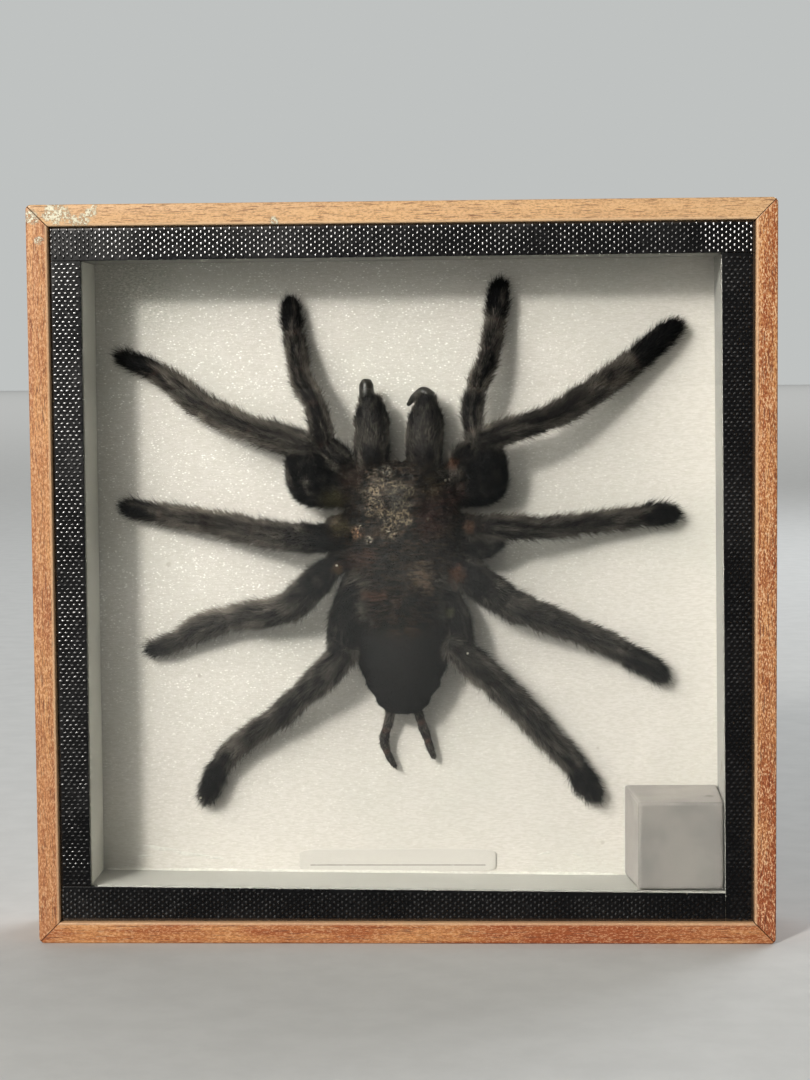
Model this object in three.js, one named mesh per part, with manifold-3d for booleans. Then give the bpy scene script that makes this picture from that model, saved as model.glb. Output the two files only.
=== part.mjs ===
// A framed tarantula: a dried spider glued to a white board in a shallow glazed box.
//
// The box stands on its lower edge. X runs to the right, Y runs from the glass to the back
// panel, and Z runs up. The origin is under the middle of the box, on the surface that it
// stands on. All sizes are in millimetres.
//
// Order from front to back, inside a frame of four mitred wooden strips:
//   binding tape, glass, four white spacer strips, backing board with the spider, back panel.

import * as THREE from 'three';
import { mergeVertices } from 'three/addons/utils/BufferGeometryUtils.js';
import Module from 'manifold-3d';

const wasm = await Module();
wasm.setup();

// ---------------------------------------------------------------- driving dimensions

const BOX_SIDE = 165;          // the frame is square: its outer width and its outer height
const BOX_DEPTH = 28;          // from the front of the wood to the back of the panel
const WOOD_FACE = 4.75;        // width of a wooden strip, seen from the front
const WOOD_CORNER = 1.2;       // radius of the worn outer corners
const MITRE_GAP = 0.12;        // open line at each mitre

const TAPE_SET_BACK = 1.25;    // the tape lies this far behind the front of the wood
const TAPE_THICK = 0.5;

// The window that the tapes leave is not quite square, because they were laid by hand. Its
// corners, across and up from the middle of the box:
const WINDOW = {
  topLeft: [-70.7, 70.2],
  topRight: [70.4, 70.6],
  bottomRight: [71.5, -71.4],
  bottomLeft: [-70.9, -69.9],
};

const GLASS_THICK = 1.875;
const LAYER_GAP = 0.125;       // slack between one layer and the next
const BOARD_SET_BACK = 20.75;  // the white board lies this far behind the front of the wood
const BOARD_THICK = 3.25;

const LABEL_WIDTH = 45.75;
const LABEL_HEIGHT = 5.25;
const LABEL_THICK = 0.25;
const LABEL_CENTRE = [-2.4, 14.8];   // across and up, on the board

const PACKET_WIDTH = 19;       // the paper packet's front
const PACKET_HEIGHT = 19.75;
const PACKET_DEPTH = 16.5;
const PACKET_LEAN_SIDE = 2.25; // how far its free side slopes in, from the board to the glass
const PACKET_LEAN_TOP = 1.25;  // how far its top slopes down, from the board to the glass

const SPIDER_CLEARANCE = 0.125; // between the spider's underside and the board
const SLIVER = 0.03;            // faces thinner than this, left where limbs cross, are merged away

// ---------------------------------------------------------------- places worked out from them

const HALF = BOX_SIDE / 2;
const FRONT = -BOX_DEPTH / 2;
const BACK = BOX_DEPTH / 2;
const INSIDE = HALF - WOOD_FACE - LAYER_GAP;     // half the side of the space inside the wood
const TAPE_FACE = FRONT + TAPE_SET_BACK;
const GLASS_FACE = TAPE_FACE + TAPE_THICK + LAYER_GAP;
const GLASS_BACK = GLASS_FACE + GLASS_THICK;
const BOARD_FACE = FRONT + BOARD_SET_BACK;
const BOARD_BACK = BOARD_FACE + BOARD_THICK;

// ---------------------------------------------------------------- materials

const material = (color, roughness, metalness = 0) =>
  new THREE.MeshStandardMaterial({ color, roughness, metalness });

const WOOD = material(0xb96f45, 0.4);
const TAPE = material(0x17171a, 0.45);
const GLASS = new THREE.MeshStandardMaterial({
  color: 0xeaf4f0, roughness: 0.03, metalness: 0, transparent: true, opacity: 0.2,
});
const WHITE_CARD = material(0xdedcd3, 0.8);
const PAPER = material(0xeceae6, 0.75);
const LABEL_PAPER = material(0xf6f5f1, 0.4);
const HARDBOARD = material(0x7a5236, 0.7);
const SPIDER = material(0x241d1a, 0.75);

// ---------------------------------------------------------------- helpers

const group = new THREE.Group();

/** Adds one named piece to the model. */
function addPiece(name, geometry, pieceMaterial) {
  const mesh = new THREE.Mesh(geometry, pieceMaterial);
  mesh.name = name;
  group.add(mesh);
  return mesh;
}

/** A flat slab given by its limits across (x), front to back (y) and up (z, from the middle). */
function slab([x0, x1], [y0, y1], [z0, z1]) {
  const geometry = new THREE.BoxGeometry(x1 - x0, y1 - y0, z1 - z0);
  geometry.translate((x0 + x1) / 2, (y0 + y1) / 2, (z0 + z1) / 2 + HALF);
  return geometry;
}

/** Height, at a place across, of the straight edge through two corners of the window. */
const edgeHeight = ([x0, z0], [x1, z1], x) => z0 + ((z1 - z0) * (x - x0)) / (x1 - x0);

/** Place across, at a height, of the straight edge through two corners of the window. */
const edgeAcross = ([x0, z0], [x1, z1], z) => x0 + ((x1 - x0) * (z - z0)) / (z1 - z0);

/** Extrudes an outline drawn across and up, from one depth to another. */
function extrudeBack(outline, y0, y1) {
  const geometry = new THREE.ExtrudeGeometry(outline, {
    depth: y1 - y0,
    curveSegments: 4,
    bevelEnabled: false,
  });
  geometry.rotateX(Math.PI / 2);
  geometry.translate(0, y1, 0);
  return geometry;
}

/** A plate given by its corners, across and up from the middle of the box, and its depths. */
function plate(corners, [y0, y1]) {
  const outline = new THREE.Shape(corners.map(([x, z]) => new THREE.Vector2(x, z)));
  const geometry = extrudeBack(outline, y0, y1);
  geometry.translate(0, 0, HALF);
  return geometry;
}

/**
 * Four strips around the window, inside the wood. The top one runs from side to side. The
 * bottom one does so too, or it stops short of the right one, which then reaches the bottom.
 */
function stripsAroundWindow(rightReachesBottom) {
  const { topLeft, topRight, bottomRight, bottomLeft } = WINDOW;
  const top = (x) => edgeHeight(topLeft, topRight, x);
  const bottom = (x) => edgeHeight(bottomLeft, bottomRight, x);
  const seam = LAYER_GAP;
  const bottomEnd = rightReachesBottom ? bottomRight[0] - seam : INSIDE;
  const rightFoot = rightReachesBottom ? -INSIDE : bottomRight[1] + seam;
  return {
    top: [[-INSIDE, top(-INSIDE)], [INSIDE, top(INSIDE)], [INSIDE, INSIDE], [-INSIDE, INSIDE]],
    bottom: [
      [-INSIDE, -INSIDE], [bottomEnd, -INSIDE], [bottomEnd, bottom(bottomEnd)],
      [-INSIDE, bottom(-INSIDE)],
    ],
    left: [
      [-INSIDE, bottom(-INSIDE) + seam], [bottomLeft[0], bottomLeft[1] + seam],
      [topLeft[0], topLeft[1] - seam], [-INSIDE, top(-INSIDE) - seam],
    ],
    right: [
      [bottomRight[0], rightFoot], [INSIDE, rightFoot], [INSIDE, top(INSIDE) - seam],
      [topRight[0], topRight[1] - seam], [bottomRight[0], Math.max(rightFoot, bottomRight[1])],
    ],
  };
}

// ---------------------------------------------------------------- the wooden frame

/** The top strip's outline: a bar with mitred ends, and half of each worn corner. */
function mitredOutline() {
  const inner = HALF - WOOD_FACE;
  const arcCentre = HALF - WOOD_CORNER;
  const slack = MITRE_GAP * Math.SQRT1_2;
  const outline = new THREE.Shape();
  outline.moveTo(inner - slack, inner);
  outline.lineTo(-inner + slack, inner);
  outline.absarc(-arcCentre + slack, arcCentre, WOOD_CORNER, 0.75 * Math.PI, 0.5 * Math.PI, true);
  outline.absarc(arcCentre - slack, arcCentre, WOOD_CORNER, 0.5 * Math.PI, 0.25 * Math.PI, true);
  return outline;
}

function addWoodenFrame() {
  const sides = ['wood_top', 'wood_left', 'wood_bottom', 'wood_right'];
  sides.forEach((name, quarter) => {
    const strip = extrudeBack(mitredOutline(), FRONT, BACK);
    strip.rotateY(-quarter * Math.PI / 2);
    strip.translate(0, 0, HALF);
    addPiece(name, strip, WOOD);
  });
}

// ---------------------------------------------------------------- glass and its binding

function addGlass() {
  addPiece('glass', slab([-INSIDE, INSIDE], [GLASS_FACE, GLASS_BACK], [-INSIDE, INSIDE]), GLASS);
}

/** Tape along the four edges of the glass. */
function addBindingTape() {
  for (const [side, corners] of Object.entries(stripsAroundWindow(true))) {
    addPiece(`tape_${side}`, plate(corners, [TAPE_FACE, TAPE_FACE + TAPE_THICK]), TAPE);
  }
}

// ---------------------------------------------------------------- the white interior

/** Strips on edge that hold the glass away from the board. */
function addSpacers() {
  const depth = [GLASS_BACK + LAYER_GAP, BOARD_FACE - LAYER_GAP];
  for (const [side, corners] of Object.entries(stripsAroundWindow(false))) {
    addPiece(`spacer_${side}`, plate(corners, depth), WHITE_CARD);
  }
}

function addBoards() {
  const whole = [-INSIDE, INSIDE];
  addPiece('backing_board', slab(whole, [BOARD_FACE, BOARD_BACK], whole), PAPER);
  addPiece('back_panel', slab(whole, [BOARD_BACK + LAYER_GAP, BACK], whole), HARDBOARD);
}

function addLabel() {
  const [x, z] = LABEL_CENTRE;
  const across = [x - LABEL_WIDTH / 2, x + LABEL_WIDTH / 2];
  const up = [z - LABEL_HEIGHT / 2 - HALF, z + LABEL_HEIGHT / 2 - HALF];
  addPiece('label', slab(across, [BOARD_FACE - LABEL_THICK, BOARD_FACE], up), LABEL_PAPER);
}

/** A folded paper packet in the lower right corner. Its two free faces slope in to the glass. */
function addPacket() {
  const { topRight, bottomRight, bottomLeft } = WINDOW;
  const wide = PACKET_WIDTH + PACKET_LEAN_SIDE;
  const tall = PACKET_HEIGHT + PACKET_LEAN_TOP;
  const right = edgeAcross(bottomRight, topRight, bottomRight[1] + tall) - LAYER_GAP;
  const bottom = HALF + edgeHeight(bottomLeft, bottomRight, right - wide) + LAYER_GAP;
  const geometry = new THREE.BoxGeometry(wide, PACKET_DEPTH, tall);
  geometry.translate(right - wide / 2, BOARD_FACE - LAYER_GAP - PACKET_DEPTH / 2, bottom + tall / 2);
  const corners = geometry.attributes.position;
  for (let i = 0; i < corners.count; i += 1) {
    const atFront = corners.getY(i) < BOARD_FACE - PACKET_DEPTH / 2;
    if (atFront && corners.getX(i) < right - wide / 2) {
      corners.setX(i, corners.getX(i) + PACKET_LEAN_SIDE);
    }
    if (atFront && corners.getZ(i) > bottom + tall / 2) {
      corners.setZ(i, corners.getZ(i) - PACKET_LEAN_TOP);
    }
  }
  addPiece('corner_packet', geometry, PAPER);
}

// ---------------------------------------------------------------- the spider's parts
//
// Every place on the spider is given as [across, up, height above the board, radius]. The
// radius takes in the hair, so that the solid reaches the hair's tips. A leg is two runs that
// overlap at the knee: the thigh comes up from the hip, and the shin goes down to the toe.

const LEGS = {
  leftFirst: {
    thigh: [
      [-8.8, 100.9, 6, 3.8], [-14.3, 100.8, 5.6, 5], [-20.4, 102.7, 6, 5.8], [-21.9, 107.6, 8, 4.9],
      [-22.5, 111.6, 9.6, 3.4],
    ],
    shin: [
      [-20.3, 110.6, 9.6, 3.3], [-24.9, 112, 9.5, 3.3], [-29.9, 113.5, 8.5, 3.3], [-35.3, 115.2, 7, 3],
      [-45.9, 120.3, 5, 3.1], [-56.6, 128.1, 3.2, 2.6], [-65.2, 131.6, 2.4, 1.8],
    ],
  },
  leftSecond: {
    thigh: [[-6.8, 92.4, 6, 3.5], [-13.9, 90.5, 8, 3.4], [-19.9, 90.2, 9, 3.4], [-26.9, 90.6, 8.6, 3.1]],
    shin: [
      [-21.9, 90.4, 9, 3.3], [-27.9, 90.8, 8.2, 3.3], [-34.3, 91.8, 6.5, 3.3],
      [-43.7, 93.7, 4.5, 3], [-53, 95.3, 3.3, 2.7], [-64.6, 97.2, 2.4, 2],
    ],
  },
  leftThird: {
    thigh: [[-6.8, 86.9, 6, 3.5], [-15.9, 83.9, 7.5, 3.3], [-20.4, 79.9, 8.5, 3.6], [-25.4, 75.1, 7.8, 3.4]],
    shin: [
      [-21.4, 78.5, 8.4, 3.4], [-26.4, 74.4, 7.4, 3.5], [-30.8, 73, 6, 3.2], [-37.8, 71.9, 4.2, 3],
      [-46.4, 69.5, 3.2, 3], [-54.1, 65.7, 2.8, 2.4], [-59.3, 64.2, 2.3, 1.6],
    ],
  },
  leftFourth: {
    thigh: [[-7.8, 82.9, 6, 3.4], [-12.4, 76.9, 6, 3.8], [-13.7, 69.9, 7.2, 4], [-14.5, 62.7, 8.8, 3.5]],
    shin: [
      [-12.3, 65.9, 9, 3.5], [-17.4, 60.1, 8.3, 3.5], [-22.5, 55.4, 7, 3.1], [-28.8, 49.5, 5, 3],
      [-34, 45.9, 4, 2.8], [-37.8, 43, 3.5, 2.7], [-41.4, 39.6, 3.1, 2.7], [-43.6, 36.3, 3, 2.8],
      [-45.3, 32.6, 2.7, 2.7], [-46.7, 29.4, 2.3, 1.8],
    ],
  },
  rightFirst: {
    thigh: [
      [7.2, 101, 6, 3.6], [13.7, 99.9, 5.4, 3.8], [18.2, 101.8, 5.6, 4.8], [18.6, 106.5, 8, 4.7],
      [18.5, 112.3, 10.6, 3.2],
    ],
    shin: [
      [15.7, 110.9, 10.2, 3.1], [23, 114.1, 11.3, 3], [28.7, 115.8, 11, 2.9], [34.3, 117.9, 9, 3.1],
      [43.6, 123.5, 6, 3.2], [51.5, 129.2, 4, 3.1], [58.3, 134.9, 3.1, 2.9], [62.3, 137.9, 2.4, 1.9],
    ],
  },
  rightSecond: {
    thigh: [[6.2, 90.9, 6, 3.5], [12.2, 88.7, 5.4, 3.2], [17.2, 88.5, 5.8, 3.6], [21.1, 90.6, 8.6, 3]],
    shin: [
      [14.5, 92.4, 9, 3.1], [19.6, 92.6, 9.3, 3.1], [25.4, 92.5, 9, 2.9], [31.6, 92.2, 7, 2.7],
      [38, 92.6, 5, 2.7], [44.1, 93.4, 4, 2.6], [50.5, 94.1, 3.3, 2.7], [56.9, 95, 2.8, 2.8],
      [61.8, 95, 2.4, 2],
    ],
  },
  rightThird: {
    thigh: [[6.2, 86.9, 6, 3.5], [12.8, 83.5, 7.4, 3.6], [16.5, 80.5, 9, 4], [22.7, 75.9, 9, 3.5]],
    shin: [
      [18.1, 79.1, 9.3, 3.6], [24.2, 74.9, 8.6, 3.5], [28.5, 73.1, 7.5, 3.4], [34.7, 70.4, 5.5, 3.1],
      [41.1, 67.7, 4, 2.9], [47.2, 64.9, 3.3, 2.8], [51.7, 62.3, 2.9, 2.8], [56.5, 59.5, 2.6, 2.6],
      [58.9, 57.4, 2.3, 1.7],
    ],
  },
  rightFourth: {
    thigh: [[6.2, 81.9, 6, 3.4], [9.8, 76.4, 6, 3.4], [11.8, 70.9, 7.2, 3.3], [12.9, 63.5, 9.2, 3.2]],
    shin: [
      [9.7, 66.9, 9.1, 3.2], [15, 62.3, 9, 3.4], [20.3, 57.4, 7.5, 3.3], [28.5, 48.8, 5, 3.2],
      [32.8, 43.8, 4, 2.9], [37.8, 38.4, 3.2, 2.8], [40.5, 34.3, 2.8, 2.9], [43.5, 29.8, 2.3, 1.9],
    ],
  },
};

const PALPS = {
  left: [
    [-12.7, 106.8, 7.2, 3.2], [-17.7, 111.2, 9, 3.1], [-18.6, 116, 10.8, 2.9], [-19.9, 120.8, 10.4, 2.8],
    [-22.7, 125.6, 8.5, 2.8], [-24.2, 132.3, 4.8, 2.7], [-25.2, 137.9, 3.2, 2.7], [-25.9, 144.2, 2.5, 2],
  ],
  right: [
    [11.6, 107, 7.5, 3.2], [16.1, 111, 9, 2.8], [15.7, 115, 9, 2.6], [15.6, 119.3, 8.2, 2.7],
    [17, 124.9, 7.5, 2.7], [19, 129.9, 6.5, 2.6], [20.3, 135.8, 4.8, 2.6], [21.2, 142.5, 3.4, 2.7],
    [22, 147.8, 2.6, 2],
  ],
};

const CHELICERAE = {
  left: [[-7, 102.9, 7, 3.4], [-7.2, 110, 7.4, 4.1], [-7.2, 116, 7, 4], [-7.6, 122.2, 6.3, 2.9]],
  right: [[4.8, 102.9, 7, 3.4], [4.6, 110, 7.4, 4.3], [4.9, 116, 7, 4.2], [5.2, 122.6, 6.2, 2.5]],
};

const FANGS = {
  left: [[-8.1, 120, 6.2, 1.8], [-8.3, 122.6, 6.3, 1.8], [-8.4, 124.6, 6.1, 1.7], [-8.4, 125.9, 5.6, 1.3]],
  right: [[6.2, 121.6, 6, 1.7], [4.6, 123, 5.8, 1.4], [2.6, 122, 5.2, 1], [0.8, 120, 4.4, 0.5]],
};

const SPINNERETS = {
  left: [[-3, 54.7, 4, 1.3], [-4, 48.1, 3.4, 1.2], [-5.2, 43, 2.6, 1.2], [-4.1, 39.4, 2.2, 1],
    [-2.6, 36.8, 1.9, 0.7]],
  right: [[1.4, 54.7, 4, 1.2], [3.2, 48.1, 3.4, 1.2], [4.8, 43.2, 2.6, 1.1], [6.2, 38.9, 2.1, 0.8]],
};

// The head-and-thorax shield and the abdomen, as half widths along the body's length:
// [up, half width, height of the middle, half thickness].
const SHIELD = [
  [107.4, 7.6, 7.6, 3.2], [104.5, 10.2, 7.6, 4.2], [100, 12, 7.6, 4.8], [94, 13.6, 7.2, 4.8],
  [86.9, 13.2, 7, 4.4], [80.9, 11, 6.8, 3.8], [76.4, 7.6, 6.6, 3],
];
const SHIELD_CENTRE = -0.6;
const ABDOMEN = [
  [78.9, 6.4, 7, 4.6], [74.4, 9.2, 7, 5.8], [68.4, 10.6, 7, 6.6], [62.3, 10.5, 6.9, 6.6],
  [57.3, 8.8, 6.5, 6], [53.2, 6.6, 6, 5], [50.1, 4.2, 5.4, 3.4],
];
const ABDOMEN_CENTRE = -0.6;

// The hip joints that ring the shield: [across, up, turn in degrees].
const HIPS = [
  [-12.3, 99.9, 20], [-13.6, 92.4, 5], [-13, 85.9, -20], [-10.8, 80.4, -45],
  [11.4, 99.9, -20], [12.6, 92.4, -5], [12, 85.9, 20], [9.8, 80.4, 45],
];
const HIP_HEIGHT = 4.6;
const HIP_LENGTH = 4.6;
const HIP_RADIUS = 3.6;

const LIMB_SIDES = 9;
const BODY_SIDES = 20;
const RINGS_AT_ENDS = 6;
const RINGS_PER_PLACE = 1.5;
const RINGS_PER_BODY = 16;

// ---------------------------------------------------------------- the spider's surfaces

const TOWARD_GLASS = new THREE.Vector3(0, -1, 0);

/** A place on the spider as a point of the model. */
function onBoard(across, up, height) {
  return new THREE.Vector3(across, BOARD_FACE - height, up);
}

/** Radius along a limb: smooth between the given ones, and rounded off at both ends. */
function radiusAlong(radii, t) {
  const at = Math.min(t, 0.9999) * (radii.length - 1);
  const k = Math.floor(at);
  const blend = (at - k) * (at - k) * (3 - 2 * (at - k));
  return radii[k] * (1 - blend) + radii[k + 1] * blend;
}

/** Where the rings stand along a limb, from 0 to 1: close together at the rounded ends. */
function ringPlaces(count) {
  const even = Array.from({ length: count - 3 }, (_, i) => 0.04 + (0.92 * i) / (count - 4));
  return [0, 0.012, ...even, 0.99, 1];
}

/**
 * A round body turned on the lathe and then bent along a curve. Its half width and its half
 * thickness follow the given radii, and its flat side keeps facing the glass.
 */
function bentBody(points, halfWidths, halfThicknesses, sides, rings) {
  const curve = new THREE.CatmullRomCurve3(points, false, 'centripetal');
  const places = ringPlaces(rings);
  const profile = places.map((t) => {
    const fromEnd = Math.min(t, 1 - t) / 0.04;
    const rounding = fromEnd >= 1 ? 1 : Math.sqrt(1 - (1 - fromEnd) * (1 - fromEnd));
    return new THREE.Vector2(rounding, t);
  });
  const geometry = new THREE.LatheGeometry(profile, sides);
  const vertex = geometry.attributes.position;
  for (let i = 0; i < vertex.count; i += 1) {
    const t = vertex.getY(i);
    const tangent = curve.getTangent(t);
    const side = new THREE.Vector3().crossVectors(tangent, TOWARD_GLASS).normalize();
    const outward = new THREE.Vector3().crossVectors(side, tangent).normalize();
    const place = curve.getPoint(Math.min(t, 1))
      .addScaledVector(side, vertex.getX(i) * radiusAlong(halfWidths, t))
      .addScaledVector(outward, vertex.getZ(i) * radiusAlong(halfThicknesses, t));
    vertex.setXYZ(i, place.x, place.y, place.z);
  }
  return toSolid(geometry);
}

/** A limb with a round section, from its places and radii. */
function limb(places) {
  const points = places.map(([across, up, height]) => onBoard(across, up, height));
  const radii = places.map((place) => place[3]);
  const rings = Math.round(RINGS_AT_ENDS + RINGS_PER_PLACE * places.length);
  return bentBody(points, radii, radii, LIMB_SIDES, rings);
}

/** The shield or the abdomen, from its half widths and thicknesses. */
function trunk(stations, centre) {
  const points = stations.map(([up, , height]) => onBoard(centre, up, height));
  const halfWidths = stations.map((station) => station[1]);
  const halfThicknesses = stations.map((station) => station[3]);
  return bentBody(points, halfWidths, halfThicknesses, BODY_SIDES, RINGS_PER_BODY);
}

/** One hip joint, a short egg under the edge of the shield. */
function hip([across, up, turn]) {
  const egg = new THREE.SphereGeometry(1, 10, 8);
  egg.scale(HIP_LENGTH, HIP_RADIUS, HIP_RADIUS);
  egg.rotateY(THREE.MathUtils.degToRad(turn));
  const middle = onBoard(across, up, HIP_HEIGHT);
  egg.translate(middle.x, middle.y, middle.z);
  return toSolid(egg);
}

/** A closed geometry as a solid that can be joined and cut. */
function toSolid(geometry) {
  geometry.deleteAttribute('normal');
  geometry.deleteAttribute('uv');
  const merged = mergeVertices(geometry, 1e-4);
  const index = merged.index.array;
  const triangles = [];
  for (let i = 0; i < index.length; i += 3) {
    const [a, b, c] = [index[i], index[i + 1], index[i + 2]];
    if (a !== b && b !== c && c !== a) triangles.push(a, b, c);
  }
  const solid = new wasm.Manifold(new wasm.Mesh({
    numProp: 3,
    vertProperties: new Float32Array(merged.attributes.position.array),
    triVerts: new Uint32Array(triangles),
  }));
  return solid;
}

/** A joined solid as a geometry. */
function toGeometry(solid) {
  const mesh = solid.getMesh();
  const geometry = new THREE.BufferGeometry();
  geometry.setAttribute('position', new THREE.BufferAttribute(new Float32Array(mesh.vertProperties), 3));
  geometry.setIndex(new THREE.BufferAttribute(new Uint32Array(mesh.triVerts), 1));
  return geometry;
}

/** The whole spider as one piece, cut off flat just above the board that it is glued to. */
function addSpider() {
  const legRuns = Object.values(LEGS).flatMap((leg) => [leg.thigh, leg.shin]);
  const others = [PALPS, CHELICERAE, FANGS, SPINNERETS].flatMap((set) => Object.values(set));
  const limbs = [...legRuns, ...others];
  let spider = trunk(SHIELD, SHIELD_CENTRE).add(trunk(ABDOMEN, ABDOMEN_CENTRE));
  for (const places of limbs) spider = spider.add(limb(places));
  for (const place of HIPS) spider = spider.add(hip(place));
  const glued = BOARD_FACE - SPIDER_CLEARANCE;
  const board = slab([-HALF, HALF], [glued, glued + BOX_DEPTH], [-HALF, HALF]);
  spider = spider.subtract(toSolid(board));
  addPiece('tarantula', toGeometry(spider.simplify(SLIVER)), SPIDER);
}

// ---------------------------------------------------------------- the finished box

addWoodenFrame();
addBindingTape();
addGlass();
addSpacers();
addBoards();
addLabel();
addPacket();
addSpider();

export default group;
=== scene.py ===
# %% [markdown]
# # A dried tarantula in a glazed box
#
# The imported solids give every piece of this box its place and size. This notebook dresses
# them: it replaces the plain strips of wood, tape and paper with worked ones, grows a coat
# of hair on the spider, and gives each surface a finish made of shader nodes.
#
# A new piece is always made in the same way. A numpy formula gives a grid of points in
# millimetres, and one helper turns the grid into a closed mesh, hangs it on the root body
# and hides the solids that it stands for.

# %% Load the solids
import math
import bpy
import numpy as np
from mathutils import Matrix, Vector


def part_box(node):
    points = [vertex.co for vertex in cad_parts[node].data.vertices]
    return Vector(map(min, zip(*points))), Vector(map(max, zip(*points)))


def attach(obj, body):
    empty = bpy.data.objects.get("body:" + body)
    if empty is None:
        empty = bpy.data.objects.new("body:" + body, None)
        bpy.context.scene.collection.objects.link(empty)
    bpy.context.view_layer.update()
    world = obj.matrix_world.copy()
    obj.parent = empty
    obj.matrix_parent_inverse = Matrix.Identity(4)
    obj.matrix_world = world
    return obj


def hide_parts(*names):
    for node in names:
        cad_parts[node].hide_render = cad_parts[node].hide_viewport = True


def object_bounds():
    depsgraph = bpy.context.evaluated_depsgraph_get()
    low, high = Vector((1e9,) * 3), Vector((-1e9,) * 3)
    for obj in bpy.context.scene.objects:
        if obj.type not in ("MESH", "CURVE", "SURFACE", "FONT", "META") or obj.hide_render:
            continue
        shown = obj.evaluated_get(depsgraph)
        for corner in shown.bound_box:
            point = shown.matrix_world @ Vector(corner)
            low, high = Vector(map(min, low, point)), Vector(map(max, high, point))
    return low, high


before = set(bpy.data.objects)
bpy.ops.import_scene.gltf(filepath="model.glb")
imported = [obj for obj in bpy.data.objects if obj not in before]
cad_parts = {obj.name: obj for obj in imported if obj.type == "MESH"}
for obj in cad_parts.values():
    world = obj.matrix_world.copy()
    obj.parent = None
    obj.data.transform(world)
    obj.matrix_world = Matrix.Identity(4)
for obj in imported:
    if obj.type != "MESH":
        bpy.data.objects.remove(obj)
cad_low, cad_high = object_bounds()
MM = 0.001
print("solids:", len(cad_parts), "- size in mm:", [round(s / MM, 1) for s in cad_high - cad_low])

# %% [markdown]
# ## Sizes that the pieces share
#
# Every solid's corners can be asked for by name, so nothing has to be measured twice. They
# come in metres, and this notebook works in millimetres, because the parts are small.


# %% Corners of the solids
def limits(node):
    """Lowest and highest corner of a solid, in millimetres, as two arrays."""
    low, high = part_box(node)
    return np.array(low) / MM, np.array(high) / MM


GLASS_BACK = limits("glass")[1][1]
BOARD_FACE = limits("backing_board")[0][1]
CASE_LOW, CASE_HIGH = limits("glass")
# The tapes were laid by hand, so the window they leave is not quite square. Its corners,
# across and up:
TOP_LEFT, TOP_RIGHT = (-70.7, 152.7), (70.4, 153.1)
BOTTOM_LEFT, BOTTOM_RIGHT = (-70.9, 12.6), (71.5, 11.1)
SEAM = 0.125               # open line between neighbouring strips


def edge(first, second, axis, at):
    """Points of the straight line through two corners: where their coordinate on the axis is
    at, the other coordinate is b0 + slope * (at - a0)."""
    (a0, b0), (a1, b1) = ((corner[axis], corner[1 - axis]) for corner in (first, second))
    return b0 + (b1 - b0) * (np.asarray(at, float) - a0) / (a1 - a0)


print("board face at y =", round(BOARD_FACE, 2), "- inside of the case from", CASE_LOW.round(2), "to",
      CASE_HIGH.round(2))

# %% [markdown]
# ## From arrays to a mesh
#
# Blender can take a whole mesh as flat arrays with `foreach_set`, which is far quicker than
# adding vertices one by one. The helper checks which way the faces look: the signed volume
# of a closed shape is negative when they look inwards, and then every face is turned over.


# %% Mesh helpers
def signed_volume(points, faces):
    """Sum over the faces of the volume of the wedge from the origin to each, as a fan of triangles."""
    total = 0.0
    for group in faces:
        first = points[group[:, 0]]
        for k in range(1, group.shape[1] - 1):
            second, third = points[group[:, k]], points[group[:, k + 1]]
            total += np.einsum("ij,ij->", first, np.cross(second, third)) / 6
    return total


def turned_outward(points, faces):
    """A closed shape with all of its faces turned over if they look inwards."""
    inwards = signed_volume(points, faces) < 0
    return points, [group[:, ::-1] for group in faces] if inwards else faces


def make_piece(name, points, faces, slot, stands_for, finish, attributes=None):
    """Makes a piece from points (n by 3, millimetres) and faces (a list of arrays of point
    numbers, one row a face). The attributes are arrays with a value or a vector for each point."""
    faces = [np.asarray(group, np.int32) for group in faces]
    points, faces = turned_outward(np.asarray(points, float), faces)
    corners = np.concatenate([group.ravel() for group in faces])
    sizes = np.concatenate([np.full(len(group), group.shape[1], np.int32) for group in faces])
    starts = np.concatenate([[0], np.cumsum(sizes)[:-1]]).astype(np.int32)
    mesh = bpy.data.meshes.new(name)
    mesh.vertices.add(len(points))
    mesh.vertices.foreach_set("co", (points * MM).astype(np.float32).ravel())
    mesh.loops.add(len(corners))
    mesh.loops.foreach_set("vertex_index", corners)
    mesh.polygons.add(len(starts))
    mesh.polygons.foreach_set("loop_start", starts)
    mesh.polygons.foreach_set("use_smooth", np.full(len(starts), True))
    for key, values in (attributes or {}).items():
        values = np.asarray(values, np.float32)
        kind, field = ("FLOAT", "value") if values.ndim == 1 else ("FLOAT_VECTOR", "vector")
        mesh.attributes.new(key, kind, "POINT").data.foreach_set(field, values.ravel())
    mesh.update(calc_edges=True)
    mesh.validate()
    piece = bpy.data.objects.new(name, mesh)
    bpy.context.scene.collection.objects.link(piece)
    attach(piece, "root")
    if stands_for:
        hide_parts(*stands_for)
    mesh.materials.append(finish)
    triangles = int((sizes - 2).sum())
    print(f"{name}: {len(points)} points, {triangles} triangles")


def dress_solid(node, finish):
    """Gives a solid that keeps its shape a finish in place of its plain colour."""
    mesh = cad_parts[node].data
    mesh.materials.clear()
    mesh.materials.append(finish)


def grid_quads(rows, columns, wrap=True):
    """Quads between neighbouring rows of a grid. With wrap, the last column joins the first."""
    i = np.arange(rows - 1)[:, None] * columns
    j = np.arange(columns if wrap else columns - 1)[None, :]
    k = (j + 1) % columns
    quads = np.stack([i + j, i + k, i + columns + k, i + columns + j], axis=-1)
    return quads.reshape(-1, 4)


def closed_grid(grid):
    """A grid of rings as points and faces, with each end ring closed by its own one-piece face."""
    rows, columns = grid.shape[:2]
    caps = [np.arange(columns)[None, ::-1], (rows - 1) * columns + np.arange(columns)[None, :]]
    return grid.reshape(-1, 3), [grid_quads(rows, columns), *caps]


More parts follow.
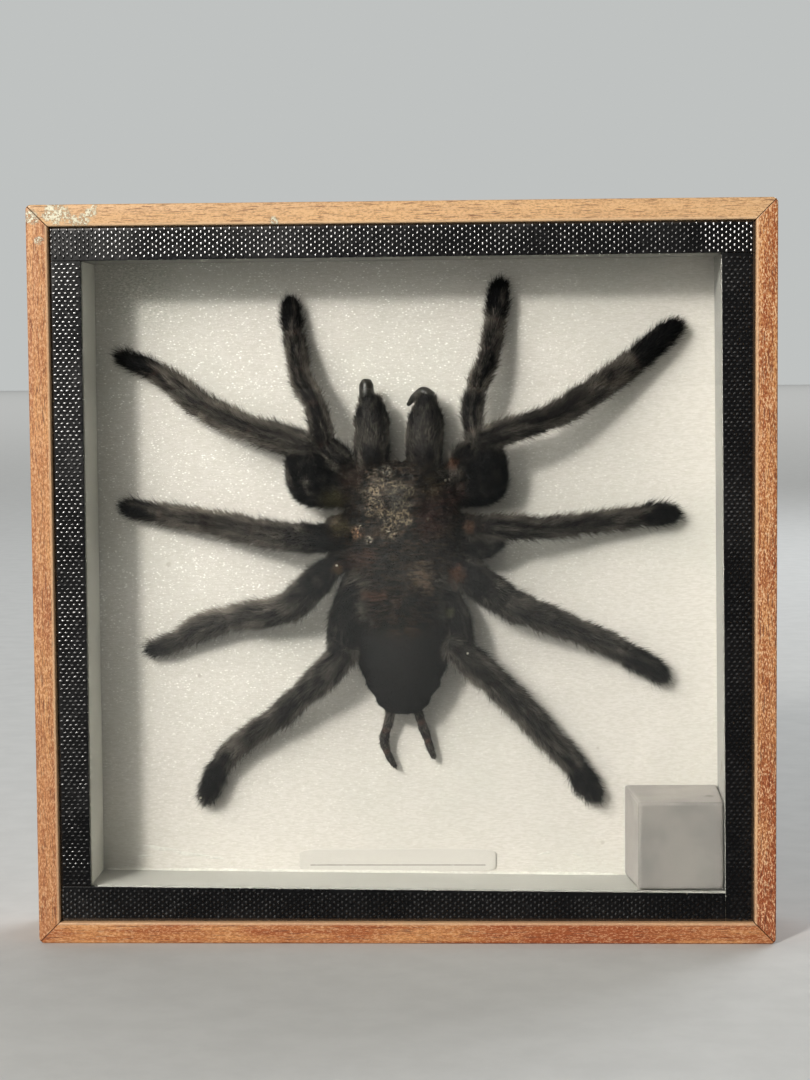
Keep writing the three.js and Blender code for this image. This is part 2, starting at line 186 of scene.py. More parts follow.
def join_shapes(shapes):
    """Several (points, faces) as one: the later point numbers move up by the points before them."""
    points, faces, count = [], [], 0
    for some_points, some_faces in shapes:
        points.append(some_points)
        faces.extend(group + count for group in some_faces)
        count += len(some_points)
    return np.vstack(points), faces


def smooth_step(x, low, high):
    """0 below low, 1 above high, and an S-shaped curve between: 3 u^2 - 2 u^3."""
    u = np.clip((x - low) / (high - low), 0, 1)
    return u * u * (3 - 2 * u)


def soft_noise(points, size, seed=0):
    """Smooth noise from -1 to 1. Random numbers stand on a lattice with the given spacing, and
    each point blends the numbers at the eight corners of its cell with an S-shaped curve."""
    cell = np.asarray(points, float) / size
    base = np.floor(cell).astype(np.int64)
    part = cell - base
    part = part * part * (3 - 2 * part)
    total = np.zeros(cell.shape[:-1])
    for corner in np.ndindex(2, 2, 2):
        a, b, c = np.moveaxis(base + corner, -1, 0)
        mixed = (a * 73856093) ^ (b * 19349663) ^ (c * 83492791) ^ (seed * 40503 + 977)
        mixed = (mixed ^ (mixed >> 13)) * 1274126177
        value = ((mixed >> 9) & 0xFFFF) / 32767.5 - 1
        total += value * np.prod(np.where(corner, part, 1 - part), axis=-1)
    return total


# %% [markdown]
# ## Shader maths as Python
#
# A node tree is easier to read as a sum than as boxes and wires. `Value` wraps one output of
# a node, and Python's own operators add the Math nodes. `Finish` makes any other node with
# one method: its kind, its settings, and the values or wires of its sockets.


# %% Node helpers
class Value:
    """One number that a node gives out. Arithmetic on it adds Math nodes."""

    def __init__(self, finish, socket):
        self.finish, self.socket = finish, socket

    def math(self, operation, *others):
        return self.finish.node("ShaderNodeMath", {"operation": operation}, list(others))

    def __add__(self, other): return self.math("ADD", self, other)
    def __radd__(self, other): return self.math("ADD", other, self)
    def __sub__(self, other): return self.math("SUBTRACT", self, other)
    def __rsub__(self, other): return self.math("SUBTRACT", other, self)
    def __mul__(self, other): return self.math("MULTIPLY", self, other)
    def __rmul__(self, other): return self.math("MULTIPLY", other, self)
    def __truediv__(self, other): return self.math("DIVIDE", self, other)
    def __pow__(self, other): return self.math("POWER", self, other)
    def __abs__(self): return self.math("ABSOLUTE", self)
    def sine(self): return self.math("SINE", self)
    def at_least(self, other): return self.math("MAXIMUM", self, other)
    def at_most(self, other): return self.math("MINIMUM", self, other)
    def limited(self): return self.at_least(0.0).at_most(1.0)

    def ramp(self, low, high, start=0.0, end=1.0):
        """start where this is below low, end where it is above high, S-shaped between."""
        settings = {"interpolation_type": "SMOOTHSTEP"}
        inputs = {0: self, 1: low, 2: high, 3: start, 4: end}
        return self.finish.node("ShaderNodeMapRange", settings, inputs)


class Finish:
    """A material and the nodes it is made of."""

    def __init__(self, name):
        self.material = bpy.data.materials.new(name)
        self.material.use_nodes = True
        self.tree = self.material.node_tree
        self.shader = self.tree.nodes["Principled BSDF"]
        self.place = self.node("ShaderNodeTexCoord", {}, {}, "Object")

    def node(self, kind, settings, inputs, output=0):
        """Adds a node. Settings are set first. Inputs is a list, or a dictionary by name or
        number, of plain values or of Values to wire in. Gives back the chosen output."""
        made = self.tree.nodes.new(kind)
        for key, value in settings.items():
            setattr(made, key, value)
        pairs = inputs.items() if isinstance(inputs, dict) else enumerate(inputs)
        for key, value in pairs:
            self.feed(made.inputs[key], value)
        return Value(self, made.outputs[output])

    def feed(self, socket, value):
        """Wires a Value into a socket, or sets the socket to a number, vector or colour."""
        if isinstance(value, Value):
            self.tree.links.new(value.socket, socket)
        elif socket.type == "RGBA":
            socket.default_value = (*value, 1.0)
        else:
            socket.default_value = value

    def mapped(self, vector, scale, turn=(0, 0, 0), shift=(0, 0, 0)):
        """The vector turned (in degrees), stretched and shifted."""
        turned = [math.radians(a) for a in turn]
        inputs = {"Vector": vector, "Scale": scale, "Rotation": turned, "Location": shift}
        return self.node("ShaderNodeMapping", {}, inputs)

    def noise(self, vector, scale, detail=3.0, rough=0.5, distortion=0.0):
        """Cloudy noise, about 0.5 in the middle of its range. The scale is in cycles a unit."""
        inputs = {"Vector": vector, "Scale": scale, "Detail": detail, "Roughness": rough,
                  "Distortion": distortion}
        return self.node("ShaderNodeTexNoise", {}, inputs)

    def cells(self, vector, scale):
        """The distance to the nearest of many scattered seeds: 0 at a seed."""
        inputs = {"Vector": vector, "Scale": scale}
        return self.node("ShaderNodeTexVoronoi", {}, inputs, "Distance")

    def parts(self, vector):
        """The three numbers of a vector."""
        split = self.node("ShaderNodeSeparateXYZ", {}, [vector]).socket.node
        return [Value(self, out) for out in split.outputs]

    def carried(self, name, output="Fac"):
        """A number or vector that is stored at the mesh's points."""
        return self.node("ShaderNodeAttribute", {"attribute_name": name}, {}, output)

    def mix(self, share, first, second):
        """A colour between two: the first at 0, the second at 1."""
        made = self.node("ShaderNodeMix", {"data_type": "RGBA"}, {}).socket.node
        sockets = {s.identifier: s for s in made.inputs}
        self.feed(sockets["Factor_Float"], share)
        self.feed(sockets["A_Color"], first)
        self.feed(sockets["B_Color"], second)
        return Value(self, next(s for s in made.outputs if s.identifier == "Result_Color"))

    def spot(self, place, radius, soft=0.4, wobble=None):
        """1 inside a round spot at a place in millimetres, fading to 0 over its rim."""
        offset = self.node("ShaderNodeVectorMath", {"operation": "DISTANCE"},
                           {0: self.place, 1: [c * MM for c in place]}, "Value")
        return self.inside(offset / (radius * MM), soft, wobble)

    def disc(self, across, up, radius, soft=0.4, wobble=None):
        """Like spot, but for every depth: only the distance across and up counts."""
        x, _, z = self.parts(self.place)
        dx, dz = x - across * MM, z - up * MM
        return self.inside((dx * dx + dz * dz) ** 0.5 / (radius * MM), soft, wobble)

    def inside(self, far, soft, wobble):
        """1 where the distance in radii is below 1, fading over a rim that the wobble moves."""
        if wobble is not None:
            far = far + wobble
        return far.ramp(1.0 - soft, 1.0 + soft, 1.0, 0.0)

    def bump(self, height, strength, depth, under=None):
        """A relief: height from 0 to 1 stands for the given depth in millimetres."""
        inputs = {"Height": height, "Strength": strength, "Distance": depth * MM}
        if under is not None:
            inputs["Normal"] = under
        return self.node("ShaderNodeBump", {}, inputs)

    def done(self, **sockets):
        """Feeds the shader. Socket names have underscores for spaces."""
        for key, value in sockets.items():
            self.feed(self.shader.inputs[key.replace("_", " ")], value)
        print(f"{self.material.name}: {len(self.tree.nodes)} nodes")
        return self.material


def largest(values):
    """The largest of several Values, which lays several spots side by side in one mask."""
    first, *others = values
    for other in others:
        first = first.at_least(other)
    return first


def tint(red, green, blue):
    """A colour as a screen shows it, 0 to 255, turned into the linear numbers of the shader."""
    share = np.array([red, green, blue]) / 255
    return tuple(np.where(share <= 0.04045, share / 12.92, ((share + 0.055) / 1.055) ** 2.4))


# %% [markdown]
# ## Camera, lights and floor
#
# The camera stands half a metre in front of the glass, a little to the right of the middle,
# and looks slightly down and to the left. Its numbers come from a fit to the corners of the
# wood, the window and the board in the photo. One round lamp, a hand wide and little more
# than a metre away, gives the soft-edged shadows inside the box. A wide one behind the case
# fills its back, a soft box as large as a ceiling keeps the floor pale far behind, and the
# world fills the shadows. What the glass mirrors is kept darker than what lights the room, as
# in a room lit from one side, or a pale veil would lie over the spider. A ray that has passed
# through the glass can't see a lamp itself, which would only add specks of noise.

# %% Camera
scene = bpy.context.scene
scene.view_settings.view_transform = "Standard"
camera_data = bpy.data.cameras.new("camera")
camera_data.lens = 79.243
camera_data.sensor_width = 36.0
camera_data.clip_start = 0.01
camera = bpy.data.objects.new("camera", camera_data)
camera.location = (0.02086, -0.53765, 0.12798)
camera.rotation_euler = [math.radians(angle) for angle in (85.917, 0.462, 2.181)]
scene.collection.objects.link(camera)
scene.camera = camera
print("camera", round(-camera.location.y, 3), "m in front of the middle of the box")


# %% Lamps
def area_lamp(name, place, energy, size, colour=(1.0, 1.0, 1.0), aim=None):
    """An area lamp, round for one size and a rectangle for two. It shines down, or at its aim."""
    data = bpy.data.lights.new(name, "AREA")
    if isinstance(size, tuple):
        data.shape = "RECTANGLE"
        data.size, data.size_y = size
    else:
        data.shape, data.size = "DISK", size
    data.energy, data.color = energy, colour
    lamp = bpy.data.objects.new(name, data)
    lamp.location = place
    if aim:
        lamp.rotation_euler = (lamp.location - Vector(aim)).to_track_quat("Z", "Y").to_euler()
    lamp.visible_transmission = False
    scene.collection.objects.link(lamp)
    return lamp


area_lamp("key", (-0.57, -1.02, 0.62), 11.2, 0.155, (1.0, 0.96, 0.905), aim=(0, 0, 0.0825))
area_lamp("fill_from_behind", (0.8, 1.1, 0.9), 9.0, 0.9, (0.93, 0.96, 1.0), aim=(0, 0, 0.08))
ceiling = area_lamp("ceiling_over_floor", (0, 9.6, 3.4), 640.0, (16.0, 17.0))
ceiling.visible_glossy = False
print("lamps:", [light.name for light in bpy.data.lights])

# %% World
world = bpy.data.worlds.new("studio")
scene.world = world
world.use_nodes = True
world_nodes, world_links = world.node_tree.nodes, world.node_tree.links
rays = world_nodes.new("ShaderNodeLightPath")
sky = world_nodes["Background"]
sky.inputs["Color"].default_value = (0.90, 0.93, 0.92, 1.0)
BACKDROP, MIRRORED, AMBIENT = 0.58, 0.02, 0.16     # seen, mirrored, and lighting the box


def world_mix(share, first, second):
    """A number between two for the world's strength: the first at 0, the second at 1."""
    blend = world_nodes.new("ShaderNodeMix")
    world_links.new(share, blend.inputs["Factor"])
    for socket, value in ((blend.inputs["A"], first), (blend.inputs["B"], second)):
        if isinstance(value, float):
            socket.default_value = value
        else:
            world_links.new(value, socket)
    return blend.outputs["Result"]


unseen = world_mix(rays.outputs["Is Glossy Ray"], AMBIENT, MIRRORED)
world_links.new(world_mix(rays.outputs["Is Camera Ray"], unseen, BACKDROP), sky.inputs["Strength"])

# %% Floor
floor_finish = Finish("pale_floor")
speckle = floor_finish.noise(floor_finish.place, 90.0, 4.0, 0.6)
floor_finish.done(
    Base_Color=floor_finish.mix(speckle.ramp(0.3, 0.7), (0.64, 0.645, 0.63), (0.68, 0.685, 0.67)),
    Roughness=0.9,
)
floor_mesh = bpy.data.meshes.new("floor")
FLOOR_REACH = 17.0         # metres from the middle to each side
floor_corners = [(x * FLOOR_REACH, y * FLOOR_REACH, 0) for x, y in ((-1, -1), (1, -1), (1, 1), (-1, 1))]
floor_mesh.from_pydata(floor_corners, [], [(0, 1, 2, 3)])
floor_mesh.materials.append(floor_finish.material)
floor = bpy.data.objects.new("floor", floor_mesh)
scene.collection.objects.link(floor)
floor.visible_glossy = False

# %% [markdown]
# ## The wooden strips
#
# Each side of the frame is one planed strip with its ends sawn at 45 degrees. Sanding and
# varnish have rounded every long edge a little, and the outer corners more. A bevel modifier
# could do this on a plain bar, but the mitre planes would be bevelled too. So the strip is a
# rounded rectangle carried from one mitre to the other: at each station the section leans
# from the inner edge of the frame to its outer outline, which turns the corner.

# %% Wooden strips
EDGE_ROUND = 0.42          # radius along the long edges, in millimetres
CORNER_ROUND = 1.2         # radius of the frame's outer corners
HALF = (cad_high.x - cad_low.x) / 2 / MM
WOOD_FRONT, WOOD_BACK = cad_low.y / MM, cad_high.y / MM
WOOD_FACE = 4.75           # width of a strip, seen from the front
WOOD_INNER = HALF - WOOD_FACE
BOARD_APART = 311.0        # each strip takes its grain from another stretch of the same board


def rounded_section(wide, deep, radius, steps=4):
    """A rounded rectangle as a closed loop. Each corner is a quarter circle round its centre."""
    loop = []
    for corner, (cx, cy) in enumerate([(1, 1), (-1, 1), (-1, -1), (1, -1)]):
        turn = np.radians(90 * corner + np.linspace(0, 90, steps + 1))
        loop.append(np.column_stack([cx * (wide / 2 - radius) + radius * np.cos(turn),
                                     cy * (deep / 2 - radius) + radius * np.sin(turn)]))
    return np.vstack(loop)


def strip_surface(quarter):
    """The top strip, turned by quarters round the middle of the frame. A point is
    inner + share * (outer - inner), where the share comes from the rounded section."""
    along = np.concatenate([np.linspace(-1, -0.955, 12), np.linspace(-0.95, 0.95, 96),
                            np.linspace(0.955, 1, 12)])
    arc = HALF - CORNER_ROUND
    flat = arc / HALF
    inner = np.column_stack([along * WOOD_INNER, np.full(len(along), WOOD_INNER)])
    angle = np.clip((np.abs(along) - flat) / (1 - flat), 0, 1) * math.pi / 4
    outer_x = np.where(np.abs(along) < flat, np.abs(along) * HALF, arc + CORNER_ROUND * np.sin(angle))
    outer = np.column_stack([np.sign(along) * outer_x, arc + CORNER_ROUND * np.cos(angle)])
    wide, deep = HALF - WOOD_INNER, WOOD_BACK - WOOD_FRONT
    section = rounded_section(wide, deep, EDGE_ROUND)
    share = section[:, 0] / wide + 0.5
    flatwise = inner[:, None] + share[None, :, None] * (outer - inner)[:, None]
    depth = np.broadcast_to(section[:, 1], flatwise.shape[:2])
    grid = np.stack([flatwise[..., 0], depth, flatwise[..., 1]], axis=-1)
    dents = 0.05 * soft_noise(grid * [0.25, 1, 1], 1.6, quarter)
    grid[..., 1] += dents * (np.abs(depth) > deep / 2 - EDGE_ROUND)
    grid[..., 2] += 0.6 * dents * (share > 0.9)
    grid[..., 1] = np.clip(grid[..., 1], WOOD_FRONT, WOOD_BACK)
    grid[..., 2] = np.minimum(grid[..., 2], HALF)
    grain = np.stack([grid[..., 0] + BOARD_APART * quarter, grid[..., 2], grid[..., 1]], axis=-1)
    turn = -quarter * math.pi / 2
    x = grid[..., 0] * math.cos(turn) - grid[..., 2] * math.sin(turn)
    z = grid[..., 0] * math.sin(turn) + grid[..., 2] * math.cos(turn)
    turned = np.stack([x, grid[..., 1], z + HALF], axis=-1)
    return turned, grain


# %% [markdown]
# The wood is a reddish tropical timber with open pores. Its grain runs along each strip, so
# each point carries a `grain` vector: how far along, across and deep it lies in its own
# board. Noise stretched along that vector gives the streaks, and a finer, sharper one gives
# the pores, which are dark and sunk. At the top left corner the varnish has gone milky and
# crusted: noise in Object coordinates, kept to a few spots, lays that over the colour.


# %% Wood finish
# Where the varnish has crusted: across, up and radius.
CRUSTS = [(-75.6, 163.4, 2.3), (-77.4, 162.6, 1.1), (-73.6, 162.6, 1.0), (-71.6, 161.3, 1.1),
          (-69.6, 161.7, 1.2), (-68.0, 163.2, 1.1), (-67.3, 164.4, 0.8), (-81.2, 162.3, 1.5),
          (-79.7, 157.2, 0.9), (-27.4, 161.0, 1.0)]


def wood_finish(name, quarter, red_share, fleck_share, pale_share):
    """The finish of one strip. The shares say how strong its reddish clouds, its light and dark
    flecks and its paleness are."""
    wood = Finish(name)
    grain = wood.carried("grain", "Vector")
    streaks = wood.noise(wood.mapped(grain, (0.035, 0.9, 0.9)), 1.0, 5.0, 0.62, 0.4)
    clouds = wood.noise(wood.mapped(grain, (0.03, 0.10, 0.10)), 1.0, 3.0, 0.5)
    pores = wood.noise(wood.mapped(grain, (0.30, 4.6, 4.6)), 1.0, 2.0, 0.45)
    fleck = wood.noise(wood.mapped(grain, (1.5, 3.6, 3.6)), 1.0, 3.0, 0.7)
    pore = pores.ramp(0.58, 0.68)
    base = wood.mix(streaks.ramp(0.36, 0.64), tint(190, 110, 60), tint(236, 168, 106))
    base = wood.mix(clouds.ramp(0.42, 0.66) * red_share, base, tint(186, 98, 54))
    base = wood.mix(pale_share, base, tint(255, 216, 162))
    base = wood.mix(fleck.ramp(0.53, 0.60) * fleck_share, base, tint(255, 212, 166))
    base = wood.mix(fleck.ramp(0.40, 0.48, 1.0, 0.0) * fleck_share * 0.8, base, tint(134, 62, 34))
    base = wood.mix(pore * (0.45 + 0.4 * fleck_share), base, tint(112, 58, 34))
    along, across, deep = wood.parts(grain)
    from_mitre = abs(abs(along - BOARD_APART * quarter) - across)
    mitre = from_mitre.ramp(0.03, 0.17, 1.0, 0.0)
    # Painted highlight: a paler band along the inner edge of every strip, where the rounded edge catches the
    # light.
    inner_edge_highlight = (across - WOOD_INNER).ramp(0.30, 0.75, 1.0, 0.0)
    base = wood.mix(inner_edge_highlight * 0.55, base, tint(252, 214, 170))
    wobble = (wood.noise(wood.place, 900.0, 4.0, 0.65) - 0.5) * 2.6
    crust = largest([wood.spot((x, WOOD_FRONT, z), radius, 0.3, wobble) for x, z, radius in CRUSTS])
    flakes = wood.noise(wood.place, 1900.0, 3.0, 0.7).ramp(0.45, 0.52)
    milky = (crust * (0.12 + flakes * 0.88)).limited()
    colour = wood.mix(crust * (1.0 - flakes) * 0.35, base, tint(140, 92, 52))
    colour = wood.mix(milky * 0.95, colour, tint(255, 250, 222))
    colour = wood.mix(mitre * 0.7, colour, tint(66, 36, 22))
    relief = streaks * 0.25 - pore * 0.75 + fleck * 0.3
    first = wood.bump(relief, 0.55, 0.05)
    return wood.done(
        Base_Color=colour,
        Roughness=(0.40 - streaks * 0.08 + pore * 0.25 + milky * 0.1).limited(),
        Specular_IOR_Level=0.5,
        Coat_Weight=0.35,
        Coat_Roughness=0.22,
        Normal=wood.bump(milky * flakes - mitre, 0.9, 0.14, first),
    )


# How reddish, how flecked and how pale each strip is.
STRIPS = {
    "wood_top": (0.10, 0.45, 0.66),
    "wood_left": (1.0, 1.0, 0.0),
    "wood_bottom": (1.0, 0.5, 0.0),
    "wood_right": (0.55, 0.65, 0.16),
}
for quarter, (node, shares) in enumerate(STRIPS.items()):
    surface, grain = strip_surface(quarter)
    points, faces = closed_grid(surface)
    strip_finish = wood_finish(f"{node}_finish", quarter, *shares)
    make_piece(f"{node}_strip", points, faces, "frame_wood", [node], strip_finish,
               {"grain": grain.reshape(-1, 3)})

# %% [markdown]
# ## The binding tape
#
# Black book cloth is pressed with a pattern of small oblong beads in rows that run across
# the tape, each row set half a bead further than the last. A bump map would do from far
# off, but each bead throws its own glint, so they are real. A bead is a low dome, and how
# low it is decides where it glints: its sides lean by less than twenty degrees, so it is the
# beads of the top and left tapes that mirror a lamp at the upper left into the eye. Where
# two tapes overlap the beads stand out more sharply, and their glints are small.
#
# Cloth that was drawn tight while it was glued also tips its beads a little. So each tape has
# a `lean`, how much deeper a bead's face lies for each millimetre across and up from its
# middle, and the far end of the top tape, which has begun to curl, leans by a `curl` more.


# %% Binding tape
ROW_PITCH, BEAD_PITCH = 0.9, 1.3
BEAD_LONG, BEAD_WIDE, BEAD_HIGH = 1.18, 0.76, 0.046
TAPE_DIP = 0.10            # how far the cloth's face lies behind the front of the solid
RINGS = np.array([1.1, 0.8, 0.42])     # share of a bead's half width at each of its rings
BEAD_SIDES = 6
RIM_SUNK = 0.9             # how deep a bead's outer ring lies in the cloth, in bead heights
OVER_HIGH, OVER_FLAT = 0.9, 0.4        # over another tape: how much higher, how much less leaning
EDGE_FALL = 0.7            # the cloth falls back over this width beside the wood, in millimetres


def bead_field(strip, seed):
    """Domes on a brick pattern. Ring s stands at the height 1 - s^2 of a parabola, the outer
    ring is sunk in the cloth, and a bead's foot is closed by one six-sided face."""
    rng = np.random.default_rng(seed)
    row = np.arange(strip["start"] + 0.5, strip["end"] - 0.3, ROW_PITCH)
    low, high = strip["low"](row)[:, None], strip["high"](row)[:, None]
    step = np.arange(low.min() - BEAD_PITCH, high.max() + BEAD_PITCH, BEAD_PITCH)
    beside = step[None, :] + np.where(np.arange(len(row)) % 2, BEAD_PITCH / 2, 0)[:, None] + 0.3
    kept = (beside > low + 0.5) & (beside < high - 0.5)
    run, beside = np.broadcast_to(row[:, None], beside.shape)[kept], beside[kept]
    count = len(run)
    overlap = smooth_step(strip["overlap_until"] - run, -0.6, 0.6)[:, None]
    run = run + rng.normal(0, 0.035, count)
    beside = beside + rng.normal(0, 0.05, count)
    size = (rng.uniform(0.84, 1.10, count))[:, None]
    turn = np.radians(np.arange(BEAD_SIDES) * 360 / BEAD_SIDES + 30)
    wide = np.append(np.outer(RINGS, np.cos(turn)).ravel() * BEAD_WIDE / 2, 0.0)
    long = np.append(np.outer(RINGS, np.sin(turn)).ravel() * BEAD_LONG / 2, 0.0)
    dome = np.append(np.repeat(1 - RINGS ** 2, BEAD_SIDES), 1.0)
    dome[:BEAD_SIDES] = -RIM_SUNK
    skew = rng.normal(0, 0.10, count)[:, None]
    a = run[:, None] + size * wide + skew * long
    b = beside[:, None] + size * long
    y = strip["front"] + TAPE_DIP - BEAD_HIGH * size * (1 + OVER_HIGH * overlap) * dome
    curl = smooth_step(run, strip["curl_from"], strip["curl_from"] + 2.0)[:, None]
    lean_x, lean_z = ((base + curl * more) * (1 - OVER_FLAT * overlap)
                      for base, more in zip(strip["lean"], strip["curl"]))
    off_x, off_z = a - run[:, None], b - beside[:, None]
    if strip["upright"]:
        off_x, off_z = off_z, off_x
    y = y + lean_x * off_x + lean_z * off_z
    points = np.stack([b, y, a] if strip["upright"] else [a, y, b], axis=-1).reshape(-1, 3)
    each = len(dome)
    first = np.arange(count)[:, None, None] * each
    k = np.arange(BEAD_SIDES)
    n = (k + 1) % BEAD_SIDES
    walls = np.concatenate([np.stack([k, n, n + BEAD_SIDES, k + BEAD_SIDES], axis=-1) + BEAD_SIDES * i
                            for i in range(len(RINGS) - 1)])[None] + first
    last = BEAD_SIDES * (len(RINGS) - 1)
    tops = np.stack([k + last, n + last, np.full(BEAD_SIDES, each - 1)], axis=-1)[None] + first
    foot = k[::-1][None, None] + first
    return points, [walls.reshape(-1, 4), tops.reshape(-1, 3), foot.reshape(-1, BEAD_SIDES)]


def tape_sheet(strip):
    """A thin closed sheet between two straight edges. Its face lies at TAPE_DIP and falls back
    beside the edges that meet the wood, as the square of the share of EDGE_FALL."""
    near_ends = np.linspace(0, 0.8, 9)
    run = np.unique(np.concatenate([strip["start"] + near_ends, strip["end"] - near_ends,
                                    np.linspace(strip["start"] + 1.2, strip["end"] - 1.2, 120)]))
    share = np.array([0, 0.015, 0.03, 0.05, 0.075, 0.11, 0.2, 0.35, 0.5, 0.65, 0.8, 0.89, 0.925, 0.95,
                      0.97, 0.985, 1.0])
    low, high = strip["low"](run)[None, :], strip["high"](run)[None, :]
    across = low + (high - low) * share[:, None]
    run = run[None, :] + 0 * across
    edges = {"start": run - strip["start"], "end": strip["end"] - run,
             "low": across - low, "high": high - across}
    near = np.min([edges[name] for name in strip["dips"]], axis=0)
    fall = np.clip(1 - near / EDGE_FALL, 0, 1) ** 2
    pucker = 0.02 * soft_noise(np.stack([run, 0 * run, across], axis=-1), 3.0, 5)
    y = strip["front"] + TAPE_DIP + pucker + fall * 0.2
    x, z = (across, run) if strip["upright"] else (run, across)
    front = np.stack([x, y, z], axis=-1).reshape(-1, 3)
    back = np.stack([x, np.full_like(x, strip["back"]), z], axis=-1).reshape(-1, 3)
    rows, columns = x.shape
    face = grid_quads(rows, columns, wrap=False)
    loop = np.concatenate([np.arange(columns), np.arange(1, rows) * columns + columns - 1,
                           (rows - 1) * columns + np.arange(columns - 2, -1, -1),
                           np.arange(rows - 2, 0, -1) * columns])
    after = np.roll(loop, -1)
    count = rows * columns
    rim = np.stack([loop, loop + count, after + count, after], axis=-1)
    return np.vstack([front, back]), [face, face[:, ::-1] + count, rim]


# %% [markdown]
# The cloth is coated, so it is black with a clear gloss on the beads and more matt between
# them. A fine weave shows through the coating, and grey dust lies low between the beads.

# %% Tape finish
tape = Finish("coated_book_cloth")
WEAVE = 11000.0            # radians a metre: a thread every 0.57 mm
weave_across = (tape.parts(tape.place)[0] * WEAVE).sine()
weave_up = (tape.parts(tape.place)[2] * WEAVE).sine()
dust = tape.noise(tape.place, 900.0, 4.0, 0.6)
smear = tape.noise(tape.place, 60.0, 3.0, 0.5)
tape_material = tape.done(
    Base_Color=tape.mix(dust.ramp(0.58, 0.78) * 0.35, tint(15, 15, 17), tint(44, 44, 46)),
    Roughness=(0.24 + smear.ramp(0.40, 0.7) * 0.10 + dust.ramp(0.5, 0.7) * 0.10).limited(),
    Specular_IOR_Level=0.9,
    Coat_Weight=0.8,
    Coat_Roughness=0.2,
    Normal=tape.bump(weave_across * weave_up * 0.5 + dust, 0.25, 0.012),
)


def level(value):
    """An edge that doesn't slant: the same value everywhere."""
    return lambda at: np.full(np.shape(at), float(value))


def sloped(first, second, axis):
    """An edge of the window, as a function of the place along it."""
    return lambda at: edge(first, second, axis, at)


FLAT_END = 999.0           # a place past every tape's end: this tape doesn't curl
# Each tape runs from start to end, between its low and high edges. It dips beside the edges
# that meet the wood, and lies over another tape until overlap_until.
TAPES = {
    "tape_top": dict(
        upright=False, lean=(-0.10, 0.14), curl_from=65.0, curl=(-0.16, 0.02),
        start=CASE_LOW[0], end=CASE_HIGH[0], overlap_until=-67.4, dips=["start", "end", "high"],
        low=sloped(TOP_LEFT, TOP_RIGHT, 0), high=level(CASE_HIGH[2])),
    "tape_left": dict(
        upright=True, lean=(-0.05, 0.14), curl_from=FLAT_END, curl=(0, 0),
        start=edge(BOTTOM_LEFT, BOTTOM_RIGHT, 0, CASE_LOW[0]) + SEAM,
        end=edge(TOP_LEFT, TOP_RIGHT, 0, CASE_LOW[0]) - SEAM, overlap_until=CASE_LOW[2],
        dips=["low"], low=level(CASE_LOW[0]), high=sloped(BOTTOM_LEFT, TOP_LEFT, 1)),
    "tape_bottom": dict(
        upright=False, lean=(-0.07, 0.19), curl_from=FLAT_END, curl=(0, 0),
        start=CASE_LOW[0], end=BOTTOM_RIGHT[0] - SEAM, overlap_until=CASE_LOW[0],
        dips=["start", "low"], low=level(CASE_LOW[2]), high=sloped(BOTTOM_LEFT, BOTTOM_RIGHT, 0)),
    "tape_right": dict(
        upright=True, lean=(-0.14, 0.12), curl_from=FLAT_END, curl=(0, 0),
        start=CASE_LOW[2], end=edge(TOP_LEFT, TOP_RIGHT, 0, CASE_HIGH[0]) - SEAM,
        overlap_until=CASE_LOW[2], dips=["high", "start"],
        low=sloped(BOTTOM_RIGHT, TOP_RIGHT, 1), high=level(CASE_HIGH[0])),
}
for seed, (node, strip) in enumerate(TAPES.items()):
    strip["front"], strip["back"] = limits(node)[0][1], limits(node)[1][1]
    shapes = [turned_outward(*tape_sheet(strip)), turned_outward(*bead_field(strip, seed + 11))]
    points, faces = join_shapes(shapes)
    make_piece(f"{node}_cloth", points, faces, "binding_tape", [node], tape_material)

# %% [markdown]
# ## The glass
#
# The pane is a true flat slab, so the solid stays and only gets a finish. It passes light
# with the refraction of window glass and a trace of green. The lamp's shadow rays are let
# through whole, because light bent through a flat pane arrives almost where it would have
# without it, and computing that bend is slow and speckled.

# %% Glass finish
glass = Finish("clear_pane")
dress_solid("glass", glass.done(
    Base_Color=(0.965, 0.985, 0.97),
    Roughness=0.0,
    IOR=1.47,
    Transmission_Weight=1.0,
))
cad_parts["glass"].visible_shadow = False

# %% [markdown]
# ## The white lining
#
# Board and spacers are covered with a cream paper that has a faint pearly skin. Up close it
# is a felt of short fibres lying mostly sideways. Where a flake of the skin happens to tilt
# towards the lamp it sparkles, which is why the sparkle gathers at the upper left. Flakes
# that small are lost in a relief, so the paper is a matt base, a thin coat and a relief of
# stretched noise, and on the board the sparkle is painted into the colour: light specks at
# the seeds of two fine cell patterns, a painted glint that gathers at the upper left.


# %% Paper finish
SPARKLE_MIDDLE, SPARKLE_REACH = (-45.0, BOARD_FACE, 125.0), 80.0
SMUDGE_MIDDLE, SMUDGE_REACH = (-60.0, BOARD_FACE, 148.0), 10.0


